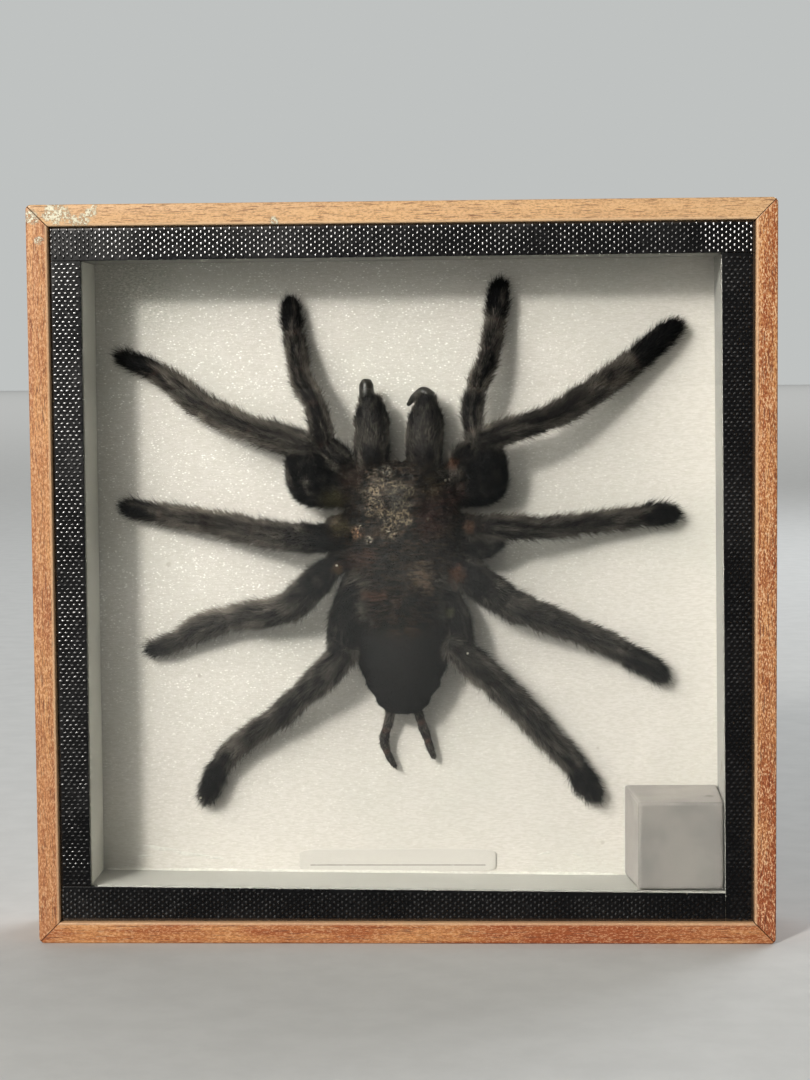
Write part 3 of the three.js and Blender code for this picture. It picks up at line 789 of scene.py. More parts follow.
def lining_finish(name, light, dark, relief, stains, sparkles=False):
    """Cream paper in two tones, with its stains: across, depth, up, radius and share of each."""
    paper = Finish(name)
    felt = paper.noise(paper.mapped(paper.place, (1.0, 1.0, 2.3), (0, -12, 0)), 1500.0, 3.0, 0.6)
    wave = paper.noise(paper.mapped(paper.place, (1.0, 1.0, 1.6)), 190.0, 3.0, 0.5)
    tone = paper.noise(paper.place, 28.0, 4.0, 0.55)
    colour = paper.mix(tone.ramp(0.38, 0.66), light, dark)
    wobble = (paper.noise(paper.place, 700.0, 3.0, 0.6) - 0.5) * 1.6
    for x, y, z, size, share in stains:
        stain = paper.spot((x, y, z), size, 0.5, wobble) * share
        colour = paper.mix(stain, colour, tint(112, 96, 74))
    if sparkles:
        threads = paper.noise(paper.mapped(paper.place, (1.0, 1.0, 4.5), (0, -8, 0)), 700.0, 3.0, 0.6)
        colour = paper.mix(threads.ramp(0.40, 0.62) * 0.5, colour, tint(184, 179, 169))
        # Painted glints: light specks in the colour, gathered at the upper left where the lamp's reflection
        # falls, stand in for the pearly skin's sparkle.
        tilted = paper.mapped(paper.place, (1.0, 1.0, 1.7), (0, 28, 0))
        lit_side = paper.spot(SPARKLE_MIDDLE, SPARKLE_REACH, 0.6)
        painted_glint = paper.cells(tilted, 880.0).ramp(0.13, 0.26, 1.0, 0.0)
        painted_glint = painted_glint * paper.noise(paper.place, 420.0, 2.0, 0.5).ramp(0.38, 0.50)
        small = paper.cells(paper.mapped(paper.place, (1.0, 1.0, 2.0), (0, 32, 0), (0.3, 0, 0.7)), 1150.0)
        painted_glint = painted_glint.at_least(small.ramp(0.10, 0.24, 0.8, 0.0)) * (0.15 + lit_side * 0.85)
        colour = paper.mix(painted_glint * 0.9, colour, tint(252, 250, 245))
        smudge = paper.spot(SMUDGE_MIDDLE, SMUDGE_REACH, 0.7, (tone - 0.5) * 2.0)
        colour = paper.mix(smudge * felt.ramp(0.4, 0.6) * 0.5, colour, tint(120, 122, 108))
    return paper.done(
        Base_Color=colour,
        Roughness=0.62,
        Specular_IOR_Level=0.35,
        Coat_Weight=(0.05 + felt.ramp(0.5, 0.75) * 0.20).limited(),
        Coat_Roughness=0.16,
        Normal=paper.bump(felt, relief, 0.07, paper.bump(wave, 0.35, 0.12)),
    )


# Faint marks on the board, and a stain on the right card.
MARKS = [(62.3, 6.7, 139.2, 0.35, 0.8), (64.3, 6.7, 137.1, 0.25, 0.7), (-54.8, 6.7, 83.8, 0.5, 0.35),
         (-47.9, 6.7, 57.9, 0.45, 0.35), (43.9, 6.7, 40.9, 0.4, 0.3), (44.9, 6.7, 18.9, 0.4, 0.3)]
STAINS = {"right": [(70.6, -4.0, 38.5, 1.4, 0.55), (70.6, -1.0, 36.5, 1.0, 0.45)]}
dress_solid("backing_board", lining_finish(
    "felted_cream_paper", tint(205, 200, 194), tint(198, 195, 188), 0.9, MARKS, sparkles=True))
# The four walls are one white card. Each wall's tone is set by the light on it, which paints light and shade
# into the card: the left wall, in shade, is painted lighter, the lit right and bottom walls darker, and the
# top darker to deepen the shade below it.
CARD_TONES_FOR_LIGHT = {"top": (162, 161, 155), "left": (226, 225, 216), "bottom": (178, 177, 171),
         "right": (160, 159, 154)}
for side, light in CARD_TONES_FOR_LIGHT.items():
    dark = [part * 0.95 for part in light]
    card = lining_finish(f"white_card_{side}", tint(*light), tint(*dark), 0.5, STAINS.get(side, []))
    dress_solid(f"spacer_{side}", card)

# %% [markdown]
# ## Glue
#
# A bead of white glue fills the corner where the bottom wall meets the board, and a few
# runs of it dried on the board beside it. A bead is a quarter-round tube whose radius
# wanders with noise. A run is a flat drop: a dome squashed to a tenth of a millimetre.


# %% Glue
def glue_bead(x0, x1, radius, seed):
    """A ten-sided tube along the foot of the bottom wall. Its radius wanders by a third."""
    x = np.linspace(x0, x1, 220)
    wander = 1 + 0.35 * soft_noise(np.stack([x, 0 * x, 0 * x], axis=-1), 2.2, seed)
    turn = np.linspace(0, 2 * math.pi, 10, endpoint=False)
    r = radius * wander * np.sqrt(np.clip(1 - np.abs(np.linspace(-1, 1, len(x))) ** 40, 0.02, 1))
    y = BOARD_FACE - 0.05 + r[:, None] * np.cos(turn)
    foot = edge(BOTTOM_LEFT, BOTTOM_RIGHT, 0, x)[:, None] + 0.05
    return closed_grid(np.stack([x[:, None] + 0 * y, np.minimum(y, BOARD_FACE + 0.3),
                                 foot + r[:, None] * np.sin(turn)], axis=-1))


def glue_run(x, z, long, wide, turn_degrees, seed):
    """A flat dome on the board: rings of radius sin(a) and height cos(a), with a wavy rim."""
    rise = np.linspace(0.04, math.pi / 2, 7)[:, None]
    turn = np.linspace(0, 2 * math.pi, 26, endpoint=False)[None, :]
    rim = 1 + 0.22 * np.sin(3 * turn + seed) + 0.12 * np.sin(7 * turn + 2 * seed)
    a = long / 2 * np.sin(rise) * np.cos(turn) * rim
    b = wide / 2 * np.sin(rise) * np.sin(turn) * rim
    lean = math.radians(turn_degrees)
    px = x + a * math.cos(lean) - b * math.sin(lean)
    pz = z + a * math.sin(lean) + b * math.cos(lean)
    py = BOARD_FACE - 0.02 - 0.13 * np.cos(rise) + 0 * a
    return closed_grid(np.stack([px, py, pz], axis=-1))


glue = Finish("dried_white_glue")
glue_lumps = glue.noise(glue.place, 1400.0, 3.0, 0.6)
glue_material = glue.done(
    Base_Color=glue.mix(glue_lumps.ramp(0.35, 0.65), tint(214, 212, 205), tint(199, 197, 190)),
    Roughness=0.28,
    Coat_Weight=0.5,
    Coat_Roughness=0.1,
    Normal=glue.bump(glue_lumps, 0.6, 0.06),
)
glue_shapes = [glue_bead(BOTTOM_LEFT[0] + 0.3, BOTTOM_RIGHT[0] - 23.0, 0.42, 3)]
RUNS = [(-57.8, 17.6, 7.0, 0.9, -8), (-50.5, 16.2, 8.0, 0.8, -6), (-61.5, 15.8, 3.5, 0.5, 4),
        (-45.0, 15.3, 4.0, 0.5, -3), (31.5, 16.4, 3.2, 0.5, 12), (39.3, 16.0, 2.6, 0.45, -20)]
glue_shapes += [glue_run(*run, seed) for seed, run in enumerate(RUNS)]
glue_points, glue_faces = join_shapes([turned_outward(*shape) for shape in glue_shapes])
make_piece("glue_beads", glue_points, glue_faces, "white_card", (), glue_material)

# %% [markdown]
# ## The label
#
# A strip of clear-backed paper is stuck to the board below the spider. It carries no words
# here, only a thin ruled line. It is one closed sheet with rounded corners, and it lifts a
# little at its ends. Its section across is a superellipse, so that no edge is knife sharp.

# %% Label
label_low, label_high = limits("label")
label_middle = (label_low + label_high) / 2
label_half = (label_high - label_low) / 2


def label_sheet():
    """Rings from the middle to the rim: a point is the middle plus share times a rounded
    rectangle |x|^8 + |z|^8 = 1. The face rises to the rim and falls over the last tenth."""
    turn = np.linspace(0, 2 * math.pi, 160, endpoint=False)[None, :]
    power = (np.abs(np.cos(turn)) ** 8 + np.abs(np.sin(turn)) ** 8) ** (-1 / 8)
    share = np.array([0.02, 0.25, 0.5, 0.7, 0.85, 0.94, 0.98, 1.0, 1.0, 0.5, 0.02])[:, None]
    lift = np.array([0.0, 0.0, 0.0, 0.01, 0.02, 0.02, 0.015, -0.03, -0.1, -0.1, -0.1])[:, None]
    x = label_middle[0] + label_half[0] * share * np.cos(turn) * power
    z = label_middle[2] + label_half[2] * share * np.sin(turn) * power
    curl = 0.10 * smooth_step(np.abs(x - label_middle[0]), label_half[0] - 4, label_half[0])
    y = BOARD_FACE - 0.11 - lift - curl * (lift > -0.05)
    return closed_grid(np.stack([x, y, z], axis=-1))


slip = Finish("clear_backed_label")
RULE_UP, RULE_HALF = label_middle[2] - 1.15, 20.2      # height and half length of the ruled line
slip_across, _, slip_up = slip.parts(slip.place)
fibre = slip.noise(slip.place, 900.0, 3.0, 0.6)
rule_height = abs(slip_up - RULE_UP * MM)
rule_ends = abs(slip_across - label_middle[0] * MM).ramp(RULE_HALF * MM, (RULE_HALF + 0.2) * MM, 1.0, 0.0)
ink = rule_height.ramp(0.07 * MM, 0.13 * MM, 1.0, 0.0) * rule_ends * fibre.ramp(0.2, 0.42)
slip_colour = slip.mix(fibre, tint(198, 194, 188), tint(188, 184, 178))
slip_material = slip.done(
    Base_Color=slip.mix(ink * 0.9, slip_colour, tint(96, 93, 88)),
    Roughness=0.45,
    Specular_IOR_Level=0.35,
    Normal=slip.bump(fibre, 0.3, 0.02),
)
make_piece("label_slip", *label_sheet(), "label_paper", ["label"], slip_material)

# %% [markdown]
# ## The paper packet
#
# A folded paper packet, which holds moth crystals, fills the lower right corner. Its front
# is a square, and its two free faces slope from the board to that square. Paper folded by
# hand is never flat: its edges are soft, its faces swell, and a crease wanders. So the shape
# is a squircle: directions on a unit ball pushed out to a cube by the p-norm, then fitted to
# the solid's two ends, with a low swell and small wrinkles.

# %% Packet
packet_low, packet_high = limits("corner_packet")
FRONT_WIDE, FRONT_TALL, LEAN_SIDE, LEAN_TOP = 19.0, 19.75, 2.25, 1.25


def packet_surface(rows=96, columns=168, power=44.0):
    """A ball's direction d, pushed out by 1 / (sum |d|^p)^(1/p), is a cube with round edges.
    Its depth share then slides the left and top faces between the back and front outlines."""
    down = np.linspace(0.02, math.pi - 0.02, rows)[:, None]
    turn = np.linspace(0, 2 * math.pi, columns, endpoint=False)[None, :] + 0.01
    d = np.stack([np.sin(down) * np.cos(turn), -np.cos(down) + 0 * turn, np.sin(down) * np.sin(turn)], -1)
    cube = d / (np.sum(np.abs(d) ** power, axis=-1, keepdims=True) ** (1 / power))
    back = (cube[..., 1] + 1) / 2
    right, bottom = packet_high[0], packet_low[2]
    wide = FRONT_WIDE + LEAN_SIDE * back
    tall = FRONT_TALL + LEAN_TOP * back
    x = right - wide * (1 - (cube[..., 0] + 1) / 2)
    z = bottom + tall * (cube[..., 2] + 1) / 2
    y = packet_low[1] + (packet_high[1] - packet_low[1]) * back
    grid = np.stack([x, y, z], axis=-1)
    sunk = (1 - cube[..., 0] ** 2) * (1 - cube[..., 2] ** 2) * smooth_step(-cube[..., 1], 0.9, 0.99)
    grid[..., 1] += 0.35 * sunk + 0.10 * soft_noise(grid, 5.0, 8) * smooth_step(-cube[..., 1], 0.9, 0.99)
    free = smooth_step(-cube[..., 0], 0.9, 0.99) * (1 - cube[..., 1] ** 2) * (1 - cube[..., 2] ** 2)
    grid[..., 0] += free * (0.45 + 0.12 * soft_noise(grid, 4.0, 9))
    lid = smooth_step(cube[..., 2], 0.9, 0.99) * (1 - cube[..., 1] ** 2) * (1 - cube[..., 0] ** 2)
    grid[..., 2] -= lid * (0.3 + 0.12 * soft_noise(grid, 4.0, 10))
    return np.clip(grid, packet_low, packet_high)


wrap = Finish("folded_packet_paper")
px, py, pz = wrap.parts(wrap.place)
nap = wrap.noise(wrap.place, 1300.0, 3.0, 0.6)
shade = wrap.noise(wrap.place, 90.0, 3.0, 0.5)
front_corner = (packet_high[0] - FRONT_WIDE, packet_low[1], packet_low[2] + FRONT_TALL)
back_corner = (packet_low[0], packet_high[1], packet_high[2])
depth_share = (py - front_corner[1] * MM) / ((back_corner[1] - front_corner[1]) * MM)
fold_x = px - (depth_share * (back_corner[0] - front_corner[0]) + front_corner[0]) * MM
fold_z = pz - (depth_share * (back_corner[2] - front_corner[2]) + front_corner[2]) * MM
away = (fold_x * fold_x + fold_z * fold_z) ** 0.5
fold = away.ramp(0.08 * MM, 0.42 * MM, 1.0, 0.0)
tear = wrap.spot((68.5, -3.5, 31.4), 0.9, 0.6, (nap - 0.5) * 3.0)
packet_colour = wrap.mix(shade.ramp(0.35, 0.65), tint(158, 153, 148), tint(146, 141, 138))
# Painted shadow: the front face gets a darker grey than the rest of the packet, as if a shadow lay over it.
front_shadow_share = (py - packet_low[1] * MM).ramp(0.3 * MM, 0.9 * MM, 1.0, 0.0)
front_shadow_colour = wrap.mix(shade.ramp(0.35, 0.65), tint(136, 131, 127), tint(122, 118, 115))
packet_colour = wrap.mix(front_shadow_share, packet_colour, front_shadow_colour)
packet_colour = wrap.mix((fold * 0.7).at_least(tear * 0.55), packet_colour, tint(86, 80, 76))
wrap_material = wrap.done(
    Base_Color=packet_colour,
    Roughness=0.62,
    Specular_IOR_Level=0.3,
    Normal=wrap.bump(nap * 0.4 + shade - fold, 0.5, 0.12),
)
make_piece("folded_packet", *closed_grid(packet_surface()), "packet_paper", ["corner_packet"], wrap_material)

# %% [markdown]
# ## The back panel
#
# The back is a sheet of hardboard: pressed wood fibre, brown, with a fine irregular tooth
# and darker fibres scattered through it. It is flat, so the solid keeps its shape, and noise
# at three sizes gives its surface.

# %% Back panel finish
pressed = Finish("pressed_hardboard")
clumps = pressed.noise(pressed.place, 240.0, 5.0, 0.65)
fibres = pressed.noise(pressed.mapped(pressed.place, (1.0, 1.0, 3.5), (0, 35, 0)), 900.0, 4.0, 0.65)
cross_fibres = pressed.noise(pressed.mapped(pressed.place, (3.5, 1.0, 1.0), (0, 20, 0)), 900.0, 4.0, 0.65)
panel_colour = pressed.mix(clumps.ramp(0.30, 0.70), tint(130, 93, 61), tint(116, 80, 52))
panel_colour = pressed.mix(fibres.ramp(0.56, 0.68) * 0.6, panel_colour, tint(72, 46, 30))
panel_colour = pressed.mix(cross_fibres.ramp(0.58, 0.70) * 0.5, panel_colour, tint(168, 126, 88))
dress_solid("back_panel", pressed.done(
    Base_Color=panel_colour,
    Roughness=0.74,
    Specular_IOR_Level=0.35,
    Normal=pressed.bump(fibres + cross_fibres + clumps * 0.5, 0.5, 0.08),
))

# %% [markdown]
# ## The spider: where its parts lie
#
# The spider was relaxed, spread and glued, so every leg has its own bends. Each place is
# [across, up, height above the board, radius with hair], in millimetres, as in the solid. A
# leg is two runs that overlap at the knee. The knots give how far along the shin, from 0 to
# 1, each joint lies.

# %% Places
LEGS = {
    "left_first": (
        [[-8.8, 100.9, 6, 3.8], [-14.3, 100.8, 5.6, 5], [-20.4, 102.7, 6, 5.8], [-21.9, 107.6, 8, 4.9],
         [-22.5, 111.6, 9.6, 3.4]],
        [[-20.3, 110.6, 9.6, 3.3], [-24.9, 112, 9.5, 3.3], [-29.9, 113.5, 8.5, 3.3], [-35.3, 115.2, 7, 3],
         [-45.9, 120.3, 5, 3.1], [-56.6, 128.1, 3.2, 2.6], [-65.2, 131.6, 2.4, 1.8]],
        (0.47, 0.65, 0.828)),
    "left_second": (
        [[-6.8, 92.4, 6, 3.5], [-13.9, 90.5, 8, 3.4], [-19.9, 90.2, 9, 3.4], [-26.9, 90.6, 8.6, 3.1]],
        [[-21.9, 90.4, 9, 3.3], [-27.9, 90.8, 8.2, 3.3], [-34.3, 91.8, 6.5, 3.3], [-43.7, 93.7, 4.5, 3],
         [-53, 95.3, 3.3, 2.7], [-64.6, 97.2, 2.4, 2]],
        (0.10, 0.388, 0.598, 0.852)),
    "left_third": (
        [[-6.8, 86.9, 6, 3.5], [-15.9, 83.9, 7.5, 3.3], [-20.4, 79.9, 8.5, 3.6], [-25.4, 75.1, 7.8, 3.4]],
        [[-21.4, 78.5, 8.4, 3.4], [-26.4, 74.4, 7.4, 3.5], [-30.8, 73, 6, 3.2], [-37.8, 71.9, 4.2, 3],
         [-46.4, 69.5, 3.2, 3], [-54.1, 65.7, 2.8, 2.4], [-59.3, 64.2, 2.3, 1.6]],
        (0.218, 0.542, 0.763)),
    "left_fourth": (
        [[-7.8, 82.9, 6, 3.4], [-12.4, 76.9, 6, 3.8], [-13.7, 69.9, 7.2, 4], [-14.5, 62.7, 8.8, 3.5]],
        [[-12.3, 65.9, 9, 3.5], [-17.4, 60.1, 8.3, 3.5], [-22.5, 55.4, 7, 3.1], [-28.8, 49.5, 5, 3],
         [-34, 45.9, 4, 2.8], [-37.8, 43, 3.5, 2.7], [-41.4, 39.6, 3.1, 2.7], [-43.6, 36.3, 3, 2.8],
         [-45.3, 32.6, 2.7, 2.7], [-46.7, 29.4, 2.3, 1.8]],
        (0.05, 0.24, 0.358, 0.708)),
    "right_first": (
        [[7.2, 101, 6, 3.6], [13.7, 99.9, 5.4, 3.8], [18.2, 101.8, 5.6, 4.8], [18.6, 106.5, 8, 4.7],
         [18.5, 112.3, 10.6, 3.2]],
        [[15.7, 110.9, 10.2, 3.1], [23, 114.1, 11.3, 3], [28.7, 115.8, 11, 2.9], [34.3, 117.9, 9, 3.1],
         [43.6, 123.5, 6, 3.2], [51.5, 129.2, 4, 3.1], [58.3, 134.9, 3.1, 2.9], [62.3, 137.9, 2.4, 1.9]],
        (0.362, 0.542, 0.722)),
    "right_second": (
        [[6.2, 90.9, 6, 3.5], [12.2, 88.7, 5.4, 3.2], [17.2, 88.5, 5.8, 3.6], [21.1, 90.6, 8.6, 3]],
        [[14.5, 92.4, 9, 3.1], [19.6, 92.6, 9.3, 3.1], [25.4, 92.5, 9, 2.9], [31.6, 92.2, 7, 2.7],
         [38, 92.6, 5, 2.7], [44.1, 93.4, 4, 2.6], [50.5, 94.1, 3.3, 2.7], [56.9, 95, 2.8, 2.8],
         [61.8, 95, 2.4, 2]],
        (0.08, 0.338, 0.528, 0.805)),
    "right_third": (
        [[6.2, 86.9, 6, 3.5], [12.8, 83.5, 7.4, 3.6], [16.5, 80.5, 9, 4], [22.7, 75.9, 9, 3.5]],
        [[18.1, 79.1, 9.3, 3.6], [24.2, 74.9, 8.6, 3.5], [28.5, 73.1, 7.5, 3.4], [34.7, 70.4, 5.5, 3.1],
         [41.1, 67.7, 4, 2.9], [47.2, 64.9, 3.3, 2.8], [51.7, 62.3, 2.9, 2.8], [56.5, 59.5, 2.6, 2.6],
         [58.9, 57.4, 2.3, 1.7]],
        (0.085, 0.245, 0.445, 0.682)),
    "right_fourth": (
        [[6.2, 81.9, 6, 3.4], [9.8, 76.4, 6, 3.4], [11.8, 70.9, 7.2, 3.3], [12.9, 63.5, 9.2, 3.2]],
        [[9.7, 66.9, 9.1, 3.2], [15, 62.3, 9, 3.4], [20.3, 57.4, 7.5, 3.3], [28.5, 48.8, 5, 3.2],
         [32.8, 43.8, 4, 2.9], [37.8, 38.4, 3.2, 2.8], [40.5, 34.3, 2.8, 2.9], [43.5, 29.8, 2.3, 1.9]],
        (0.06, 0.275, 0.402, 0.745)),
}
PALPS = {
    "left_palp": (
        [[-12.7, 106.8, 7.2, 3.2], [-17.7, 111.2, 9, 3.1], [-18.6, 116, 10.8, 2.9],
         [-19.9, 120.8, 10.4, 2.8], [-22.7, 125.6, 8.5, 2.8], [-24.2, 132.3, 4.8, 2.7],
         [-25.2, 137.9, 3.2, 2.7], [-25.9, 144.2, 2.5, 2]],
        (0.18, 0.418, 0.61, 0.818)),
    "right_palp": (
        [[11.6, 107, 7.5, 3.2], [16.1, 111, 9, 2.8], [15.7, 115, 9, 2.6], [15.6, 119.3, 8.2, 2.7],
         [17, 124.9, 7.5, 2.7], [19, 129.9, 6.5, 2.6], [20.3, 135.8, 4.8, 2.6], [21.2, 142.5, 3.4, 2.7],
         [22, 147.8, 2.6, 2]],
        (0.225, 0.458, 0.668, 0.805)),
}
JAWS = {
    "left_jaw": [[-7, 102.9, 7, 3.4], [-7.2, 110, 7.4, 4.1], [-7.2, 116, 7, 4], [-7.6, 122.2, 6.3, 2.9]],
    "right_jaw": [[4.8, 102.9, 7, 3.4], [4.6, 110, 7.4, 4.3], [4.9, 116, 7, 4.2], [5.2, 122.6, 6.2, 2.5]],
}
FANGS = [
    [[-8.1, 120, 6.2, 1.7], [-8.3, 122.6, 6.3, 1.75], [-8.4, 124.6, 6.1, 1.65], [-8.4, 125.8, 5.6, 1.2]],
    [[6.2, 121.6, 6, 1.6], [4.6, 123, 5.8, 1.3], [2.6, 122, 5.2, 0.95], [0.8, 120, 4.4, 0.45]],
]
SPINNERETS = [
    [[-3, 54.7, 4, 1.3], [-4, 48.1, 3.4, 1.2], [-5.2, 43, 2.6, 1.2], [-4.1, 39.4, 2.2, 1],
     [-2.6, 36.8, 1.9, 0.7]],
    [[1.4, 54.7, 4, 1.2], [3.2, 48.1, 3.4, 1.2], [4.8, 43.2, 2.6, 1.1], [6.2, 38.9, 2.1, 0.8]],
]
# The shield and the abdomen: [up, half width, height of the middle, half thickness].
SHIELD = [[107.4, 7.6, 7.6, 3.2], [104.5, 10.2, 7.6, 4.2], [100, 12, 7.6, 4.8], [94, 13.6, 7.2, 4.8],
          [86.9, 13.2, 7, 4.4], [80.9, 11, 6.8, 3.8], [76.4, 7.6, 6.6, 3]]
ABDOMEN = [[78.9, 6.4, 7, 4.6], [74.4, 9.2, 7, 5.8], [68.4, 10.6, 7, 6.6], [62.3, 10.5, 6.9, 6.6],
           [57.3, 8.8, 6.5, 6], [53.2, 6.6, 6, 5], [50.1, 4.2, 5.4, 3.4]]
TRUNK_CENTRE = -0.6
# The hips of four legs and a palp on each side: across, up and how far each is turned.
HIPS = [[-12.3, 99.9, 20], [-13.6, 92.4, 5], [-13, 85.9, -20], [-10.8, 80.4, -45],
        [11.4, 99.9, -20], [12.6, 92.4, -5], [12, 85.9, 20], [9.8, 80.4, 45],
        [-11.6, 104.2, 40], [10.9, 104.2, -40]]

# %% [markdown]
# ## Skin
#
# All of the spider's parts are rings carried along a curve. The curve is a centripetal
# Catmull-Rom spline, which passes through its places without loops. A ring's frame comes
# from the curve's direction and the direction towards the glass, so the flat side of every
# part keeps facing the glass. The skin lies under the solid's surface by the depth of the
# hair, so that the hair's tips end where the solid does.


# %% Paths and rings
def smooth_path(places, t):
    """Points on a centripetal Catmull-Rom curve at each t from 0 to 1: between two places it is
    the cubic whose slopes weigh the neighbouring spans by the root of their lengths."""
    p = np.vstack([2 * places[0] - places[1], places, 2 * places[-1] - places[-2]])
    at = np.clip(t, 0, 1) * (len(places) - 1)
    k = np.minimum(at.astype(int), len(places) - 2)
    w = (at - k)[:, None]
    a, b, c, d = p[k], p[k + 1], p[k + 2], p[k + 3]
    ab, bc, cd = (np.maximum(np.sum((v - u) ** 2, axis=1, keepdims=True) ** 0.25, 1e-4)
                  for u, v in ((a, b), (b, c), (c, d)))
    out = ((b - a) / ab - (c - a) / (ab + bc) + (c - b) / bc) * bc
    into = ((c - b) / bc - (d - b) / (bc + cd) + (d - c) / cd) * bc
    return b + out * w + (3 * (c - b) - 2 * out - into) * w ** 2 + (2 * (b - c) + out + into) * w ** 3


def eased(values, t):
    """Values given at evenly spaced t, with an S-shaped blend between neighbours."""
    values = np.asarray(values, float)
    at = np.clip(t, 0, 0.9999) * (len(values) - 1)
    k = at.astype(int)
    w = smooth_step(at - k, 0, 1)
    return values[k] * (1 - w) + values[k + 1] * w


def unit(v):
    """Vectors of length 1 in the same directions."""
    return v / np.maximum(np.linalg.norm(v, axis=-1, keepdims=True), 1e-9)


def ring_places(count):
    """From 0 to 1, close together at the rounded ends and even between."""
    end = 0.04 * (1 - np.cos(np.linspace(0.12, math.pi / 2, 7)))
    return np.concatenate([end, np.linspace(0.04, 0.96, count)[1:-1], 1 - end[::-1]])


def bent_body(places, wide, thick, pile, sides, rings, shape=None, round_end=0.04):
    """A part as a grid of rings: centre + side * wide * cos(a) + out * thick * sin(a). Both
    radii lose the depth of the hair, fall to nothing at the ends as a quarter circle does,
    and are multiplied by shape(t, length). Gives the grid and what hair needs to know."""
    t = ring_places(rings)
    centre = smooth_path(np.asarray(places, float), t)
    forward = unit(np.gradient(centre, axis=0))
    side = unit(np.cross(forward, [0.0, -1.0, 0.0]))
    out = unit(np.cross(side, forward))
    length = np.concatenate([[0], np.cumsum(np.linalg.norm(np.diff(centre, axis=0), axis=1))])
    from_end = np.minimum(np.minimum(t, 1 - t) / round_end, 1)
    rounding = np.sqrt(np.clip(1 - (1 - from_end) ** 2, 0.002, 1))
    factor = rounding if shape is None else rounding * shape(t, length)
    turn = np.linspace(0, 2 * math.pi, sides, endpoint=False)
    rx = ((eased(wide, t) - pile) * factor)[:, None, None]
    ry = ((eased(thick, t) - pile) * factor)[:, None, None]
    grid = (centre[:, None] + side[:, None] * rx * np.cos(turn)[None, :, None]
            + out[:, None] * ry * np.sin(turn)[None, :, None])
    flow = np.broadcast_to(forward[:, None], grid.shape)
    return {"grid": grid, "flow": flow, "t": np.broadcast_to(t[:, None], grid.shape[:2]),
            "centre": np.broadcast_to(centre[:, None], grid.shape), "length": length}


def on_board(places):
    """[across, up, height] as points of the model."""
    places = np.asarray(places, float)
    return np.column_stack([places[:, 0], BOARD_FACE - places[:, 2], places[:, 1]])


# %% [markdown]
# A leg's segments swell a little in the middle and narrow sharply at each joint, where the
# skin is bare, thin and reddish. The dent is a bell curve of the distance from the joint.
# The same curve is stored on the points as `joint`, so that the finish can colour it. How
# pale the skin and its hair are is stored as `tone`: it varies in long locks along the limb,
# and the last segment, the toe, is darker. Some legs have a fringe of long hairs on one
# side, so a limb may name the side of its fringe.


# %% Limbs
SKIN_GAP = 0.14            # between the skin's underside and the board
DENT_REACH, BARE_REACH = 0.7, 0.55     # half widths of a joint's dent and of its bare skin
NO_TOE = 2.0               # past the end of any limb: nothing on it is darkened
skin_parts = []


def bells(length, joints, reach):
    """A bell curve exp(-(d / reach)^2) of the distance d from each joint, one row a joint."""
    return np.exp(-((length[None, :] - np.asarray(joints)[:, None]) / reach) ** 2)


def add_limb(group, places, joints=(), pile=0.85, sides=26, rings=64, tone=0.4, hair=1.5,
             dark_from=NO_TOE, fringe=None, slim=0.0, blunt=0.0):
    """One run of a leg, a palp, a jaw or a spinneret. A run may start slim, under the shield,
    and its last radius may be raised for a blunt toe."""
    places = np.asarray(places, float)
    centre = on_board(places)
    knots = np.asarray(joints, float)

    def segments(t, length):
        at = np.interp(knots, t, length)
        dent = bells(length, at, DENT_REACH).sum(axis=0)
        ends = np.concatenate([[0], at, [length[-1]]])
        k = np.clip(np.searchsorted(ends, length, side="right") - 1, 0, len(ends) - 2)
        share = (length - ends[k]) / (ends[k + 1] - ends[k])
        swell = np.sin(math.pi * share.clip(0, 1)) ** 0.7
        return (0.98 + 0.05 * swell - 0.09 * dent) * (1 - slim * (1 - smooth_step(t, 0.25, 0.6)))

    radii = places[:, 3] + 0.0
    radii[-1] += blunt
    part = bent_body(centre, radii, radii, pile, sides, rings, segments)
    grid, t = part["grid"], part["t"]
    grid += (grid - part["centre"]) * (0.06 * soft_noise(grid, 2.2, 21))[..., None]
    grid[..., 1] = np.minimum(grid[..., 1], BOARD_FACE - SKIN_GAP)
    at = np.interp(knots, t[:, 0], part["length"])
    joint = bells(part["length"], at, BARE_REACH).max(axis=0, initial=0.0)
    part["joint"] = np.broadcast_to(joint[:, None], t.shape)
    offset = grid - part["centre"]
    lane = np.stack([np.broadcast_to(part["length"][:, None] / 5, t.shape),
                     offset[..., 0] / 0.9 + offset[..., 2] / 0.9, offset[..., 1] / 0.9], axis=-1)
    lock = soft_noise(lane, 1.0, 61) + 0.5 * soft_noise(lane * [2.2, 2, 2], 1.0, 62)
    toe = smooth_step(t, dark_from - 0.04, dark_from + 0.06)
    part["tone"] = np.clip(tone + 0.55 * lock - 0.4 * toe, -0.3, 1)
    part["hair"] = hair * (1 - 0.4 * part["joint"])
    part["group"], part["fringe"] = group, fringe
    skin_parts.append(part)


# The side on which a leg's long hairs stand out: across and up.
FRINGES = {"left_first": (-0.3, 0.95), "left_third": (-0.3, 0.95), "left_fourth": (-0.5, -0.85),
           "right_fourth": (-0.7, -0.7)}
for name, (thigh, shin, joints) in LEGS.items():
    group = name.split("_")[0] + ("_front" if name.endswith(("first", "second")) else "_back")
    add_limb(group, thigh, (), pile=0.8, rings=40, tone=-0.15, hair=1.2, slim=0.28)
    add_limb(group, shin, joints, pile=0.95, rings=110, tone=0.42, hair=1.5, dark_from=joints[-1],
             fringe=FRINGES.get(name), blunt=0.35)
for name, (places, joints) in PALPS.items():
    add_limb(name.split("_")[0] + "_front", places, joints, pile=0.85, rings=92, tone=0.28, hair=1.35,
             dark_from=joints[-1], blunt=0.3)
for places in JAWS.values():
    add_limb("body", places, (), pile=0.5, sides=34, rings=48, tone=0.24, hair=0.95)
